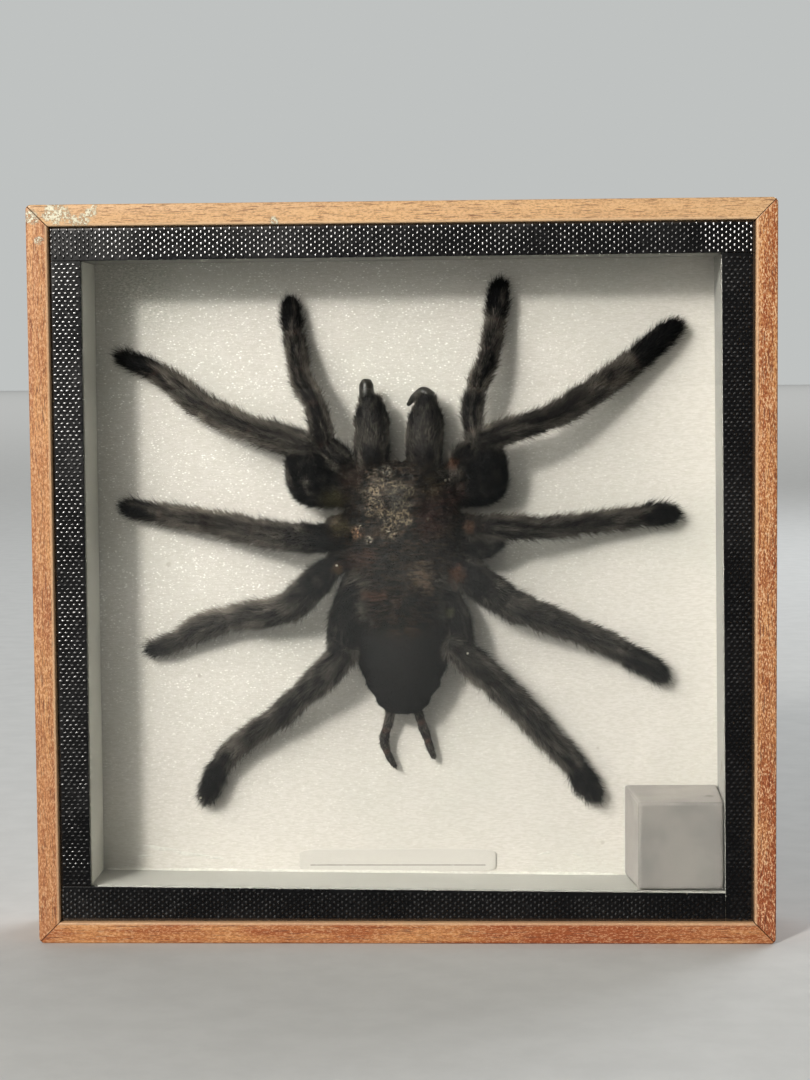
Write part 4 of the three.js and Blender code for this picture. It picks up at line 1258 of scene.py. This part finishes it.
for places in SPINNERETS:
    add_limb("body", places, (0.36, 0.66), pile=0.2, sides=16, rings=48, tone=0.6, hair=0.55)

# %% [markdown]
# ## Shield, hips and abdomen
#
# The shield over head and thorax is the worn part of this specimen. Its relief is added to
# the rings along their outward direction: a raised head, a pit in the middle with furrows
# that run out from it like spokes, and a low crust where the skin has dried and cracked. The
# abdomen is a soft egg with low folds, bare and velvety but for its shaggy front end. Ten
# short hips, those of the legs and of the palps, show around the shield's rim.


# %% Shield
def trunk(stations, pile, sides, rings):
    """The shield or the abdomen, from its stations along the middle of the trunk."""
    stations = np.asarray(stations, float)
    places = np.column_stack([np.full(len(stations), TRUNK_CENTRE), stations[:, 0], stations[:, 2]])
    return bent_body(on_board(places), stations[:, 1], stations[:, 3], pile, sides, rings, round_end=0.07)


PIT = np.array([1.7, 98.9])            # across and up
EYES = np.array([-3.0, 105.2])
RUBBED = np.array([-3.2, 98.6])        # middle of the patch where the hair is rubbed off


def shield_relief(x, z, top):
    """Height to add, in millimetres, from the distance and the angle round the pit."""
    dx, dz = x - PIT[0], z - PIT[1]
    far = np.hypot(dx, dz)
    angle = np.arctan2(dx, dz)
    pit = -0.8 * np.exp(-((dx / 1.2) ** 2 + (dz / 0.8) ** 2))
    spokes = -0.30 * np.exp(-(np.sin(2.6 * angle + 0.35) / 0.22) ** 2) * smooth_step(far, 1.2, 3) * (
        1 - smooth_step(far, 8, 12))
    head = 0.6 * np.exp(-(((x + 1.2) / 5.6) ** 4 + ((z - 101.5) / 5.4) ** 4))
    eye_hill = 0.7 * np.exp(-(((x - EYES[0]) / 1.7) ** 2 + ((z - EYES[1]) / 1.1) ** 2))
    place = np.stack([x, 0 * x, z], axis=-1)
    crust = 0.30 * soft_noise(place, 2.4, 31) + 0.20 * np.abs(soft_noise(place, 1.1, 32))
    crust = crust + 0.14 * soft_noise(place, 0.5, 33)
    return (pit + spokes + head + eye_hill + crust) * top


shield = trunk(SHIELD, 0.3, 120, 130)
grid = shield["grid"]
facing = -(grid - shield["centre"])[..., 1]
top = smooth_step(facing, 0.3, 2.2)
lifted = shield_relief(grid[..., 0], grid[..., 2], top)
grid += unit(grid - shield["centre"]) * lifted[..., None]
grid[..., 1] = np.minimum(grid[..., 1], BOARD_FACE - SKIN_GAP)
ACROSS, UP = np.array([1.0, 0.0, 0.0]), np.array([0.0, 0.0, 1.0])
outward = unit(grid - shield["centre"])
sideways = np.sign(grid[..., :1] - TRUNK_CENTRE) * ACROSS
rear = smooth_step(grid[..., 2], 83.0, 78.0)
shield["flow"] = unit(sideways + 0.35 * outward * (ACROSS + UP) - (0.22 + 0.5 * rear[..., None]) * UP)
spread = np.hypot((grid[..., 0] - TRUNK_CENTRE) / 12.5, (grid[..., 2] - 92) / 15.5)
rubbed = np.exp(-(((grid[..., 0] - RUBBED[0]) / 6.2) ** 4 + ((grid[..., 2] - RUBBED[1]) / 8.2) ** 4))
shield["hair"] = 0.8 + 0.4 * smooth_step(spread, 0.6, 1.0) + 1.6 * rear
shield["joint"] = np.zeros(grid.shape[:2])
shield["tone"] = 0.45 + 0.35 * smooth_step(soft_noise(grid, 4.5, 51), -0.2, 0.5)
shield["weight"] = 0.9 * (1 - 0.86 * rubbed)
shield["group"], shield["fringe"] = "body", None

# %% Abdomen and hips
abdomen = trunk(ABDOMEN, 0.55, 96, 90)
grid = abdomen["grid"]
folds = 0.12 * soft_noise(grid * [1, 1, 0.5], 3.6, 41)
grid += unit(grid - abdomen["centre"]) * folds[..., None]
grid[..., 1] = np.minimum(grid[..., 1], BOARD_FACE - SKIN_GAP)
shaggy = smooth_step(grid[..., 2] + 1.2 * soft_noise(grid, 1.6, 43), 69.5, 74.0)
sideways = np.sign(grid[..., :1] - TRUNK_CENTRE) * ACROSS
abdomen["flow"] = unit(abdomen["flow"] * (1 - shaggy[..., None]) + shaggy[..., None] * (sideways - 0.35 * UP))
rim = smooth_step(np.abs(grid[..., 0] - TRUNK_CENTRE), 7, 10)
abdomen["hair"] = 0.42 + 0.5 * rim + 1.8 * shaggy
abdomen["joint"] = np.zeros(grid.shape[:2])
abdomen["tone"] = -0.22 + 0.7 * shaggy
abdomen["weight"] = 1.2 + 1.0 * shaggy
abdomen["group"], abdomen["fringe"] = "body", None

HIP_LONG, HIP_THICK, HIP_END, HIP_HEIGHT = 4.3, 3.1, 1.9, 4.8


def hip(across, up, turn_degrees):
    """Places along a short egg that lies outwards: its half length is HIP_LONG, and its radius
    falls from HIP_THICK to HIP_END at its ends."""
    angle = math.radians(turn_degrees)
    reach = np.linspace(-HIP_LONG, HIP_LONG, 5)
    radii = [HIP_END, HIP_THICK, HIP_THICK, HIP_THICK, HIP_END]
    places = np.column_stack([across + reach * math.cos(angle), up - reach * math.sin(angle),
                              np.full(5, HIP_HEIGHT), radii])
    return places[::-1] if across < 0 else places


for place in HIPS:
    add_limb("body", hip(*place), (0.78,), pile=0.25, sides=30, rings=34, tone=0.85, hair=0.8)

# %% [markdown]
# Eyes, fangs and claws are bare, black and glossy. The eight eyes sit in two rows on their
# hill. Each foot ends in two small hooks. All of them are short tapered tubes or domes.

# %% Eyes, fangs and claws
# A claw's bend: how far ahead, how high and how thick at each of its places.
CLAW = [(0, 0.35, 0.22), (0.4, 0.55, 0.18), (0.72, 0.35, 0.12), (0.85, 0.0, 0.05)]


def horn(places, rings=26, sides=12):
    """A bare tapered tube with rounded ends."""
    places = np.asarray(places, float)
    part = bent_body(on_board(places), places[:, 3], places[:, 3], 0.0, sides, rings)
    return closed_grid(part["grid"])


def claws(places, thickness):
    """The two hooks at the end of a limb, one on each side of its toe."""
    toe, before = np.array(places[-1][:3], float), np.array(places[-2][:3], float)
    ahead = unit(toe - before)
    beside = np.array([-ahead[1], ahead[0], 0.0])
    for sign in (-1, 1):
        root = toe - ahead * 0.35 + beside * 0.5 * sign
        yield horn([[*(root + ahead * a + [0, 0, h]), wide * thickness] for a, h, wide in CLAW], 14, 8)


glossy_shapes = [horn(places) for places in FANGS]
for thigh, shin, joints in LEGS.values():
    glossy_shapes += claws(shin, 1.0)
for places, joints in PALPS.values():
    glossy_shapes += claws(places, 0.8)


def eye(x, z, radius):
    """A ball: rings of radius sin(a) along the line of sight."""
    a = np.linspace(0.15, math.pi - 0.15, 9)[:, None]
    turn = np.linspace(0, 2 * math.pi, 14, endpoint=False)[None, :]
    near = np.argmin(np.hypot(shield["grid"][..., 0] - x, shield["grid"][..., 2] - z)
                     + 50 * (shield["grid"][..., 1] > shield["centre"][..., 1]))
    depth = shield["grid"].reshape(-1, 3)[near][1]
    middle = depth - 0.3 * radius
    grid = np.stack([x + radius * np.sin(a) * np.cos(turn), middle - radius * np.cos(a) + 0 * turn,
                     z + radius * np.sin(a) * np.sin(turn)], axis=-1)
    return closed_grid(grid)


# Half of the eyes: how far from the middle of the hill across and up, and how large.
for dx, dz, radius in [(0.62, 0.1, 0.34), (1.35, 0.45, 0.27), (1.3, -0.35, 0.24), (0.8, -0.62, 0.2)]:
    for sign in (-1, 1):
        glossy_shapes.append(eye(EYES[0] + sign * dx, EYES[1] + dz, radius))
horn_shape = join_shapes([turned_outward(*shape) for shape in glossy_shapes])

# %% [markdown]
# ## Finishes of the skin
#
# Under the hair the skin is nearly black, with brown showing through and reddish joints. The
# shield is a patchwork: dark brown, rust, olive, and a large worn patch where the hair is
# gone and the dried skin shows grey and beige. Each patch is a soft spot whose rim is moved
# by noise. Light scatters a little in the bare patch, but it is thin and old, so a plain
# rough surface with a faint gloss comes close enough and renders cleanly.

# %% Skin finishes
# Coloured places on the trunk: across, up, radius, share and colour.
TINGES = [(7.4, 96.5, 4.0, 0.7, (50, 33, 29)), (6.0, 92.6, 2.4, 0.6, (58, 38, 32)),
          (6.6, 101.8, 2.4, 0.6, (54, 45, 29)), (11.0, 99.6, 2.2, 0.6, (68, 46, 42)),
          (10.9, 107.0, 1.3, 0.7, (92, 60, 42)), (-16.0, 98.4, 2.6, 0.7, (72, 67, 45)),
          (-15.0, 83.4, 1.2, 0.6, (104, 76, 54)), (3.8, 81.6, 2.4, 0.8, (98, 82, 68)),
          (5.4, 78.6, 1.3, 0.8, (122, 102, 86)), (-9.0, 77.3, 1.1, 0.6, (84, 56, 45)),
          (-6.9, 76.9, 1.1, 0.65, (90, 60, 48)), (-4.9, 77.2, 1.0, 0.6, (84, 57, 46)),
          (-1.8, 76.2, 1.2, 0.5, (76, 56, 47)), (-11.5, 84.8, 2.2, 0.5, (64, 43, 36)),
          (11.6, 82.0, 1.8, 0.75, (92, 62, 48)), (14.6, 92.6, 1.3, 0.6, (100, 70, 54)),
          (-14.4, 92.8, 2.0, 0.65, (74, 66, 46)), (-12.0, 104.6, 2.4, 0.5, (62, 45, 37)),
          (10.2, 73.2, 1.0, 0.75, (84, 82, 64)), (-8.2, 86.2, 1.6, 0.5, (78, 52, 42))]
# White specks of dust: across and up.
SPECKS = [(-15.3, 84.1), (14.2, 64.3), (-12.0, 60.1), (-47.7, 30.0), (3.7, 42.9), (-20.5, 96.8),
          (9.4, 103.2)]
SPECK_RADIUS = 0.26


def trunk_tinges(finish, colour, ragged):
    """Brown and black mottling over everything near the middle of the trunk, then the tinges,
    and over both the dark and light strokes of hairs that lie sideways. Specks come last."""
    near = finish.disc(-1.0, 93.0, 15.5, 0.22, ragged * 0.12)
    near = near.at_least(finish.disc(-0.8, 76.8, 9.2, 0.3, ragged * 0.2))
    mottle = finish.noise(finish.place, 560.0, 4.0, 0.65)
    strokes = finish.noise(finish.mapped(finish.place, (1.0, 1.0, 5.5), (0, -4, 0)), 430.0, 3.0, 0.6)
    mottled = finish.mix(mottle.ramp(0.46, 0.62), tint(6, 5, 4), tint(44, 32, 22))
    colour = finish.mix(near * 0.9, colour, mottled)
    for x, z, radius, share, tinge in TINGES:
        colour = finish.mix(finish.disc(x, z, radius, 0.6, ragged) * share, colour, tint(*tinge))
    colour = finish.mix(near * strokes.ramp(0.50, 0.60) * 0.8, colour, tint(7, 6, 5))
    colour = finish.mix(near * strokes.ramp(0.36, 0.44, 1.0, 0.0) * 0.2, colour, tint(100, 80, 62))
    specks = largest([finish.disc(x, z, SPECK_RADIUS) for x, z in SPECKS])
    return finish.mix(specks * 0.9, colour, tint(226, 220, 204))


skin = Finish("dark_spider_skin")
joint = skin.carried("joint")
tone = skin.carried("tone")
mottle = skin.noise(skin.place, 700.0, 4.0, 0.6)
grain = skin.noise(skin.place, 2600.0, 3.0, 0.6)
skin_colour = skin.mix(tone * mottle.ramp(0.35, 0.65), tint(14, 14, 15), tint(40, 34, 29))
skin_colour = skin.mix(joint * (0.2 + mottle * 0.5), skin_colour, tint(98, 66, 54))
skin_colour = trunk_tinges(skin, skin_colour, (mottle - 0.5) * 2.4)
skin_material = skin.done(
    Base_Color=skin_colour,
    Roughness=(0.62 - joint * 0.2).limited(),
    Specular_IOR_Level=0.2,
    Normal=skin.bump(grain + mottle, 0.7, 0.10),
)

worn = Finish("worn_shield_skin")
coarse = worn.noise(worn.place, 260.0, 5.0, 0.62)
middling = worn.noise(worn.place, 620.0, 4.0, 0.62)
fine = worn.noise(worn.place, 1900.0, 4.0, 0.65)
ragged = (middling - 0.5) * 2.4 + (coarse - 0.5) * 1.4
shield_colour = worn.mix(coarse.ramp(0.40, 0.62), tint(24, 23, 19), tint(38, 31, 26))
shield_colour = worn.mix(middling.ramp(0.54, 0.70) * 0.4, shield_colour, tint(58, 40, 32))
shield_colour = trunk_tinges(worn, shield_colour, ragged)
# Where the skin is bare and dried: across, up, radius and share. The other places on the
# shield are given by across, up and radius.
PATCHES = [(-7.0, 100.2, 2.2, 0.75), (-3.0, 101.6, 2.4, 0.8), (-0.9, 98.0, 2.3, 0.75),
           (-5.4, 96.9, 2.0, 0.8), (-2.0, 94.6, 2.3, 0.8), (0.4, 94.6, 1.6, 0.6),
           (-3.2, 92.0, 1.7, 0.75), (1.4, 101.2, 1.4, 0.5), (-6.6, 103.8, 1.5, 0.5),
           (-7.6, 96.6, 1.3, 0.6)]
ORANGE = [(-11.9, 91.0, 1.5), (-10.4, 91.6, 1.3)]
PALE = [(-8.0, 90.0, 1.0), (-3.8, 105.6, 1.2), (-10.2, 92.9, 0.8)]
PALE_DROPS = [(5.6, 94.6, 0.4), (-3.4, 92.0, 0.6)]
DARKENED_HOLES = [(1.7, 98.9, 0.75), (-3.5, 97.8, 0.45), (0.7, 95.1, 0.5), (-7.1, 96.2, 0.5), (-9.6, 92.0, 0.7)]
bare = largest([worn.disc(x, z, radius, 0.55, ragged) * share for x, z, radius, share in PATCHES])
dried = worn.mix(fine.ramp(0.42, 0.58), tint(32, 26, 20), tint(134, 120, 98))
dried = worn.mix(middling.ramp(0.48, 0.62) * 0.75, dried, tint(44, 35, 28))
smooth_grey = worn.spot((-1.6, -4.5, 99.4), 2.6, 0.6, (coarse - 0.5) * 1.2)
dried = worn.mix(smooth_grey * 0.7, dried, tint(60, 60, 58))
shield_colour = worn.mix((bare * (0.30 + fine * 0.9)).limited(), shield_colour, dried)
ravel = (fine - 0.5) * 2.2
orange = largest([worn.disc(*place, 0.5, ravel) for place in ORANGE])
shield_colour = worn.mix(orange * fine.ramp(0.40, 0.52) * 0.85, shield_colour, tint(132, 100, 74))
pale = largest([worn.disc(*place, 0.4, ravel) for place in PALE]
               + [worn.disc(*place, 0.5, ravel) for place in PALE_DROPS])
shield_colour = worn.mix(pale * fine.ramp(0.46, 0.56) * 0.8, shield_colour, tint(154, 147, 132))
streak_place = worn.mapped(worn.place, (1.0, 1.0, 7.0))
sideways_streak = worn.noise(streak_place, 420.0, 3.0, 0.6)
shield_colour = worn.mix(sideways_streak.ramp(0.54, 0.68) * 0.35, shield_colour, tint(26, 22, 20))
# Painted shade: the pit in the middle and a few holes in the dried skin are darkened, as the shade inside
# them.
hole_shade = largest([worn.disc(*place, 0.4, ravel * 0.4) for place in DARKENED_HOLES])
shield_colour = worn.mix(hole_shade * 0.85, shield_colour, tint(20, 15, 13))
# Painted shade in small pits scattered over the crust.
pit_shade = worn.cells(worn.place, 620.0).ramp(0.10, 0.24, 1.0, 0.0) * fine.ramp(0.48, 0.60)
shield_colour = worn.mix(pit_shade * 0.7, shield_colour, tint(26, 20, 17))
worn_material = worn.done(
    Base_Color=shield_colour,
    Roughness=(0.58 - bare * 0.12 + fine * 0.1).limited(),
    Specular_IOR_Level=0.28,
    Normal=worn.bump(fine + middling * 1.2 + coarse, 0.85, 0.28),
)

velvet = Finish("velvet_abdomen_skin")
nap = velvet.noise(velvet.place, 1500.0, 4.0, 0.6)
cloudy = velvet.noise(velvet.place, 160.0, 3.0, 0.5)
velvet_colour = velvet.mix(cloudy.ramp(0.35, 0.65), tint(19, 19, 19), tint(27, 26, 26))
velvet_material = velvet.done(
    Base_Color=trunk_tinges(velvet, velvet_colour, (nap - 0.5) * 2.0),
    Roughness=0.75,
    Specular_IOR_Level=0.08,
    Normal=velvet.bump(nap, 0.6, 0.08),
)

chitin = Finish("black_glossy_horn")
streak = chitin.noise(chitin.place, 900.0, 2.0, 0.5)
chitin_material = chitin.done(
    Base_Color=chitin.mix(streak.ramp(0.35, 0.7), tint(26, 25, 22), tint(48, 45, 39)),
    Roughness=0.34,
    Specular_IOR_Level=0.5,
    Normal=chitin.bump(streak, 0.2, 0.03),
)


# %% Skin pieces
def spider_piece(name, shape, finish, attributes=None):
    """One of the pieces that together stand for the spider's solid."""
    make_piece(f"spider_{name}", *shape, "dried_spider", ["tarantula"], finish, attributes)


limb_shape = join_shapes([turned_outward(*closed_grid(part["grid"])) for part in skin_parts])
carried = {key: np.concatenate([part[key].ravel() for part in skin_parts]) for key in ("joint", "tone")}
spider_piece("limbs", limb_shape, skin_material, carried)
spider_piece("shield", closed_grid(shield["grid"]), worn_material)
spider_piece("abdomen", closed_grid(abdomen["grid"]), velvet_material)
spider_piece("fangs_eyes_claws", horn_shape, chitin_material)
skin_parts += [shield, abdomen]

# %% [markdown]
# ## Hair
#
# A particle system would comb hair well, but it is only drawn, never part of the mesh. Here
# every hair is real and closed. The pile is a crowd of three-sided spikes of four faces; a
# long hair is a tube of a few rings that bends. Roots are drawn at random over the skin's
# grid cells, weighed by area and by how far a cell faces the glass. A hair starts off along
# the limb and leans out of the skin: point(s) = root + length * (s * start + s * s * bend).
# Most lie close; some stand up, and a few long ones make the fringes of the legs.


# %% Roots
def cell_corners(values):
    """A grid's values at the four corners of each cell, the last column joined to the first."""
    after = np.roll(values, -1, axis=1)
    return values[:-1], after[:-1], after[1:], values[1:]


def cell_weights(part, side_share, fringed):
    """How likely each cell of a part is to grow a hair, and the cells' outward directions. Cells
    that face the board are bare. With side_share, hair gathers on the sides of the limb, where
    it shows against the board, and fringed hair gathers on the side of the limb's fringe."""
    a, b, c, d = cell_corners(part["grid"])
    cross = np.cross(c - a, d - b)
    area = np.linalg.norm(cross, axis=-1) / 2
    normal = unit(cross)
    inward = np.sum(normal * ((a + b + c + d) / 4 - part["centre"][:-1]), axis=-1) < 0
    normal = np.where(inward[..., None], -normal, normal)
    seen = np.clip((0.42 - normal[..., 1]) / 0.55, 0, 1)
    seen = seen * (1 - side_share + side_share * (1 - np.abs(normal[..., 1])))
    weight = area * seen
    if "weight" in part:
        weight = weight * part["weight"][:-1]
    if part["fringe"] and fringed:
        toward = normal[..., 0] * part["fringe"][0] + normal[..., 2] * part["fringe"][1]
        weight = weight * (0.5 + 4.0 * np.clip(toward, 0, 1) ** 1.5)
    return weight, normal


def roots_on(part, rng, count, weight, normal):
    """Random places on a part with their outward direction, flow, hair length and tone."""
    flat = rng.choice(weight.size, size=count, p=(weight / weight.sum()).ravel())
    u, v = rng.random((2, count, 1))

    def blend(values):
        corners = [corner.reshape(weight.size, -1)[flat] for corner in cell_corners(values)]
        return ((1 - u) * (1 - v) * corners[0] + u * (1 - v) * corners[1]
                + u * v * corners[2] + (1 - u) * v * corners[3])

    return {"root": blend(part["grid"]), "normal": normal.reshape(-1, 3)[flat],
            "flow": unit(blend(part["flow"])), "length": blend(part["hair"])[:, 0],
            "tone": blend(part["tone"])[:, 0]}


def gather(parts, rng, count, side_share=0.0, fringed=False):
    """Shares a number of hairs out over the parts by their weights."""
    weights = [cell_weights(part, side_share, fringed) for part in parts]
    total = np.array([weight.sum() for weight, _ in weights])
    shares = rng.multinomial(count, total / total.sum())
    found = [roots_on(part, rng, share, *cells) for part, share, cells in zip(parts, shares, weights)]
    return {key: np.concatenate([some[key] for some in found]) for key in found[0]}


# %% Slivers
ROOT_DEPTH = 0.06          # a hair starts this far under the skin, in millimetres


def grow(roots, rng, lift, lift_spread, length_spread, width, stations, droop=0.25, pale=0.0):
    """Hairs as points, faces and their values. The ring at s has radius width * (1 - s)^0.6.
    A hair leaves the skin at an angle of about lift, and stays between board and glass."""
    count = len(roots["root"])
    angle = np.radians(np.clip(rng.normal(lift, lift_spread, count), 4, 85))[:, None]
    loose = unit(rng.normal(0, 1, (count, 3)))
    out_of_skin = np.sum(roots["flow"] * roots["normal"], axis=1, keepdims=True)
    flow = unit(roots["flow"] - roots["normal"] * out_of_skin)
    start = unit(flow * np.cos(angle) + roots["normal"] * np.sin(angle) + 0.20 * loose)
    bend = flow * droop + 0.10 * unit(rng.normal(0, 1, (count, 3)))
    length = (roots["length"] * rng.uniform(*length_spread, count))[:, None, None]
    s = np.append(np.array(stations), 1.0)[None, :, None]
    spine = roots["root"][:, None] + length * (s * start[:, None] + s * s * bend[:, None])
    spine[:, 0] -= roots["normal"] * ROOT_DEPTH
    one = unit(np.cross(start, loose))
    two = np.cross(start, one)
    turn = np.radians([0, 120, 240])
    radius = (width * (1 - np.array(stations)) ** 0.6)[None, :, None, None]
    ring = one[:, None, None] * np.cos(turn)[:, None] + two[:, None, None] * np.sin(turn)[:, None]
    rings = spine[:, :-1, None] + radius * ring
    points = np.concatenate([rings.reshape(count, -1, 3), spine[:, -1:]], axis=1)
    points[..., 1] = np.clip(points[..., 1], GLASS_BACK + 0.1, BOARD_FACE - 0.05)
    each, steps = points.shape[1], len(stations)
    first = np.arange(count)[:, None, None] * each
    k = np.arange(3)
    n = (k + 1) % 3
    foot = np.array([[2, 1, 0]])[None] + first
    walls = [(np.stack([k, n, n + 3, k + 3], -1) + 3 * i)[None] + first for i in range(steps - 1)]
    tips = (np.stack([k + 3 * (steps - 1), n + 3 * (steps - 1), np.full(3, each - 1)], -1))[None] + first
    along = np.append(np.repeat(stations, 3), 1.0)
    values = {
        "along": np.broadcast_to(along, (count, each)).ravel(),
        "tone": np.repeat(np.clip(roots["tone"] + pale + rng.normal(0, 0.16, count), 0, 1.4), each),
    }
    faces = [foot.reshape(-1, 3), *(wall.reshape(-1, 4) for wall in walls), tips.reshape(-1, 3)]
    return points.reshape(-1, 3), faces, values


# %% [markdown]
# A hair is black at its root and a dull grey brown towards its tip, and each has its own
# share of it, which is stored as `tone`. The long guard hairs are paler. Old hair is dusty,
# so the surface is rough and has next to no gloss.

# %% Hair finish
hair = Finish("spider_hair")
along = hair.carried("along")
tuft = hair.noise(hair.place, 240.0, 3.0, 0.55)
paleness = (hair.carried("tone") * (0.30 + along * 0.75) * tuft.ramp(0.25, 0.75, 0.55, 1.25)).limited()
hair_colour = hair.mix(paleness, tint(15, 15, 16), tint(146, 138, 128))
hair_colour = trunk_tinges(hair, hair_colour, (hair.noise(hair.place, 620.0, 4.0, 0.62) - 0.5) * 2.4)
hair_material = hair.done(
    Base_Color=hair_colour,
    Roughness=0.7,
    Specular_IOR_Level=0.03,
)

# %% Coats
SPIKE, LONG = (0.0,), (0.0, 0.35, 0.7)     # where along a hair its rings stand
# How many hairs lie close, stand up and are long, over each group of parts.
COATS = {
    "left_front": (24500, 15000, 2350),
    "left_back": (23500, 15000, 2600),
    "right_front": (24500, 15000, 2350),
    "right_back": (23500, 15000, 2600),
    "body": (35500, 12000, 400),
}
TRIANGLE_LIMIT = 199000
for seed, (group, (close, standing, long)) in enumerate(COATS.items()):
    rng = np.random.default_rng(100 + seed)
    parts = [part for part in skin_parts if part["group"] == group]
    coats = [grow(gather(parts, rng, close), rng, 19, 7, (0.7, 1.15), 0.066, SPIKE),
             grow(gather(parts, rng, standing, 0.9), rng, 42, 10, (0.9, 1.6), 0.064, SPIKE),
             grow(gather(parts, rng, long, 0.95, fringed=True), rng, 48, 12, (1.2, 2.1), 0.052, LONG,
                  droop=0.3, pale=0.45 if group.endswith("back") else 0.1)]
    points, faces = join_shapes([coat[:2] for coat in coats])
    values = {key: np.concatenate([coat[2][key] for coat in coats]) for key in ("along", "tone")}
    triangles = sum(len(group_faces) * (group_faces.shape[1] - 2) for group_faces in faces)
    if triangles > TRIANGLE_LIMIT:
        raise ValueError(f"{group} has {triangles} triangles of hair")
    spider_piece(f"hair_{group}", (points, faces), hair_material, values)
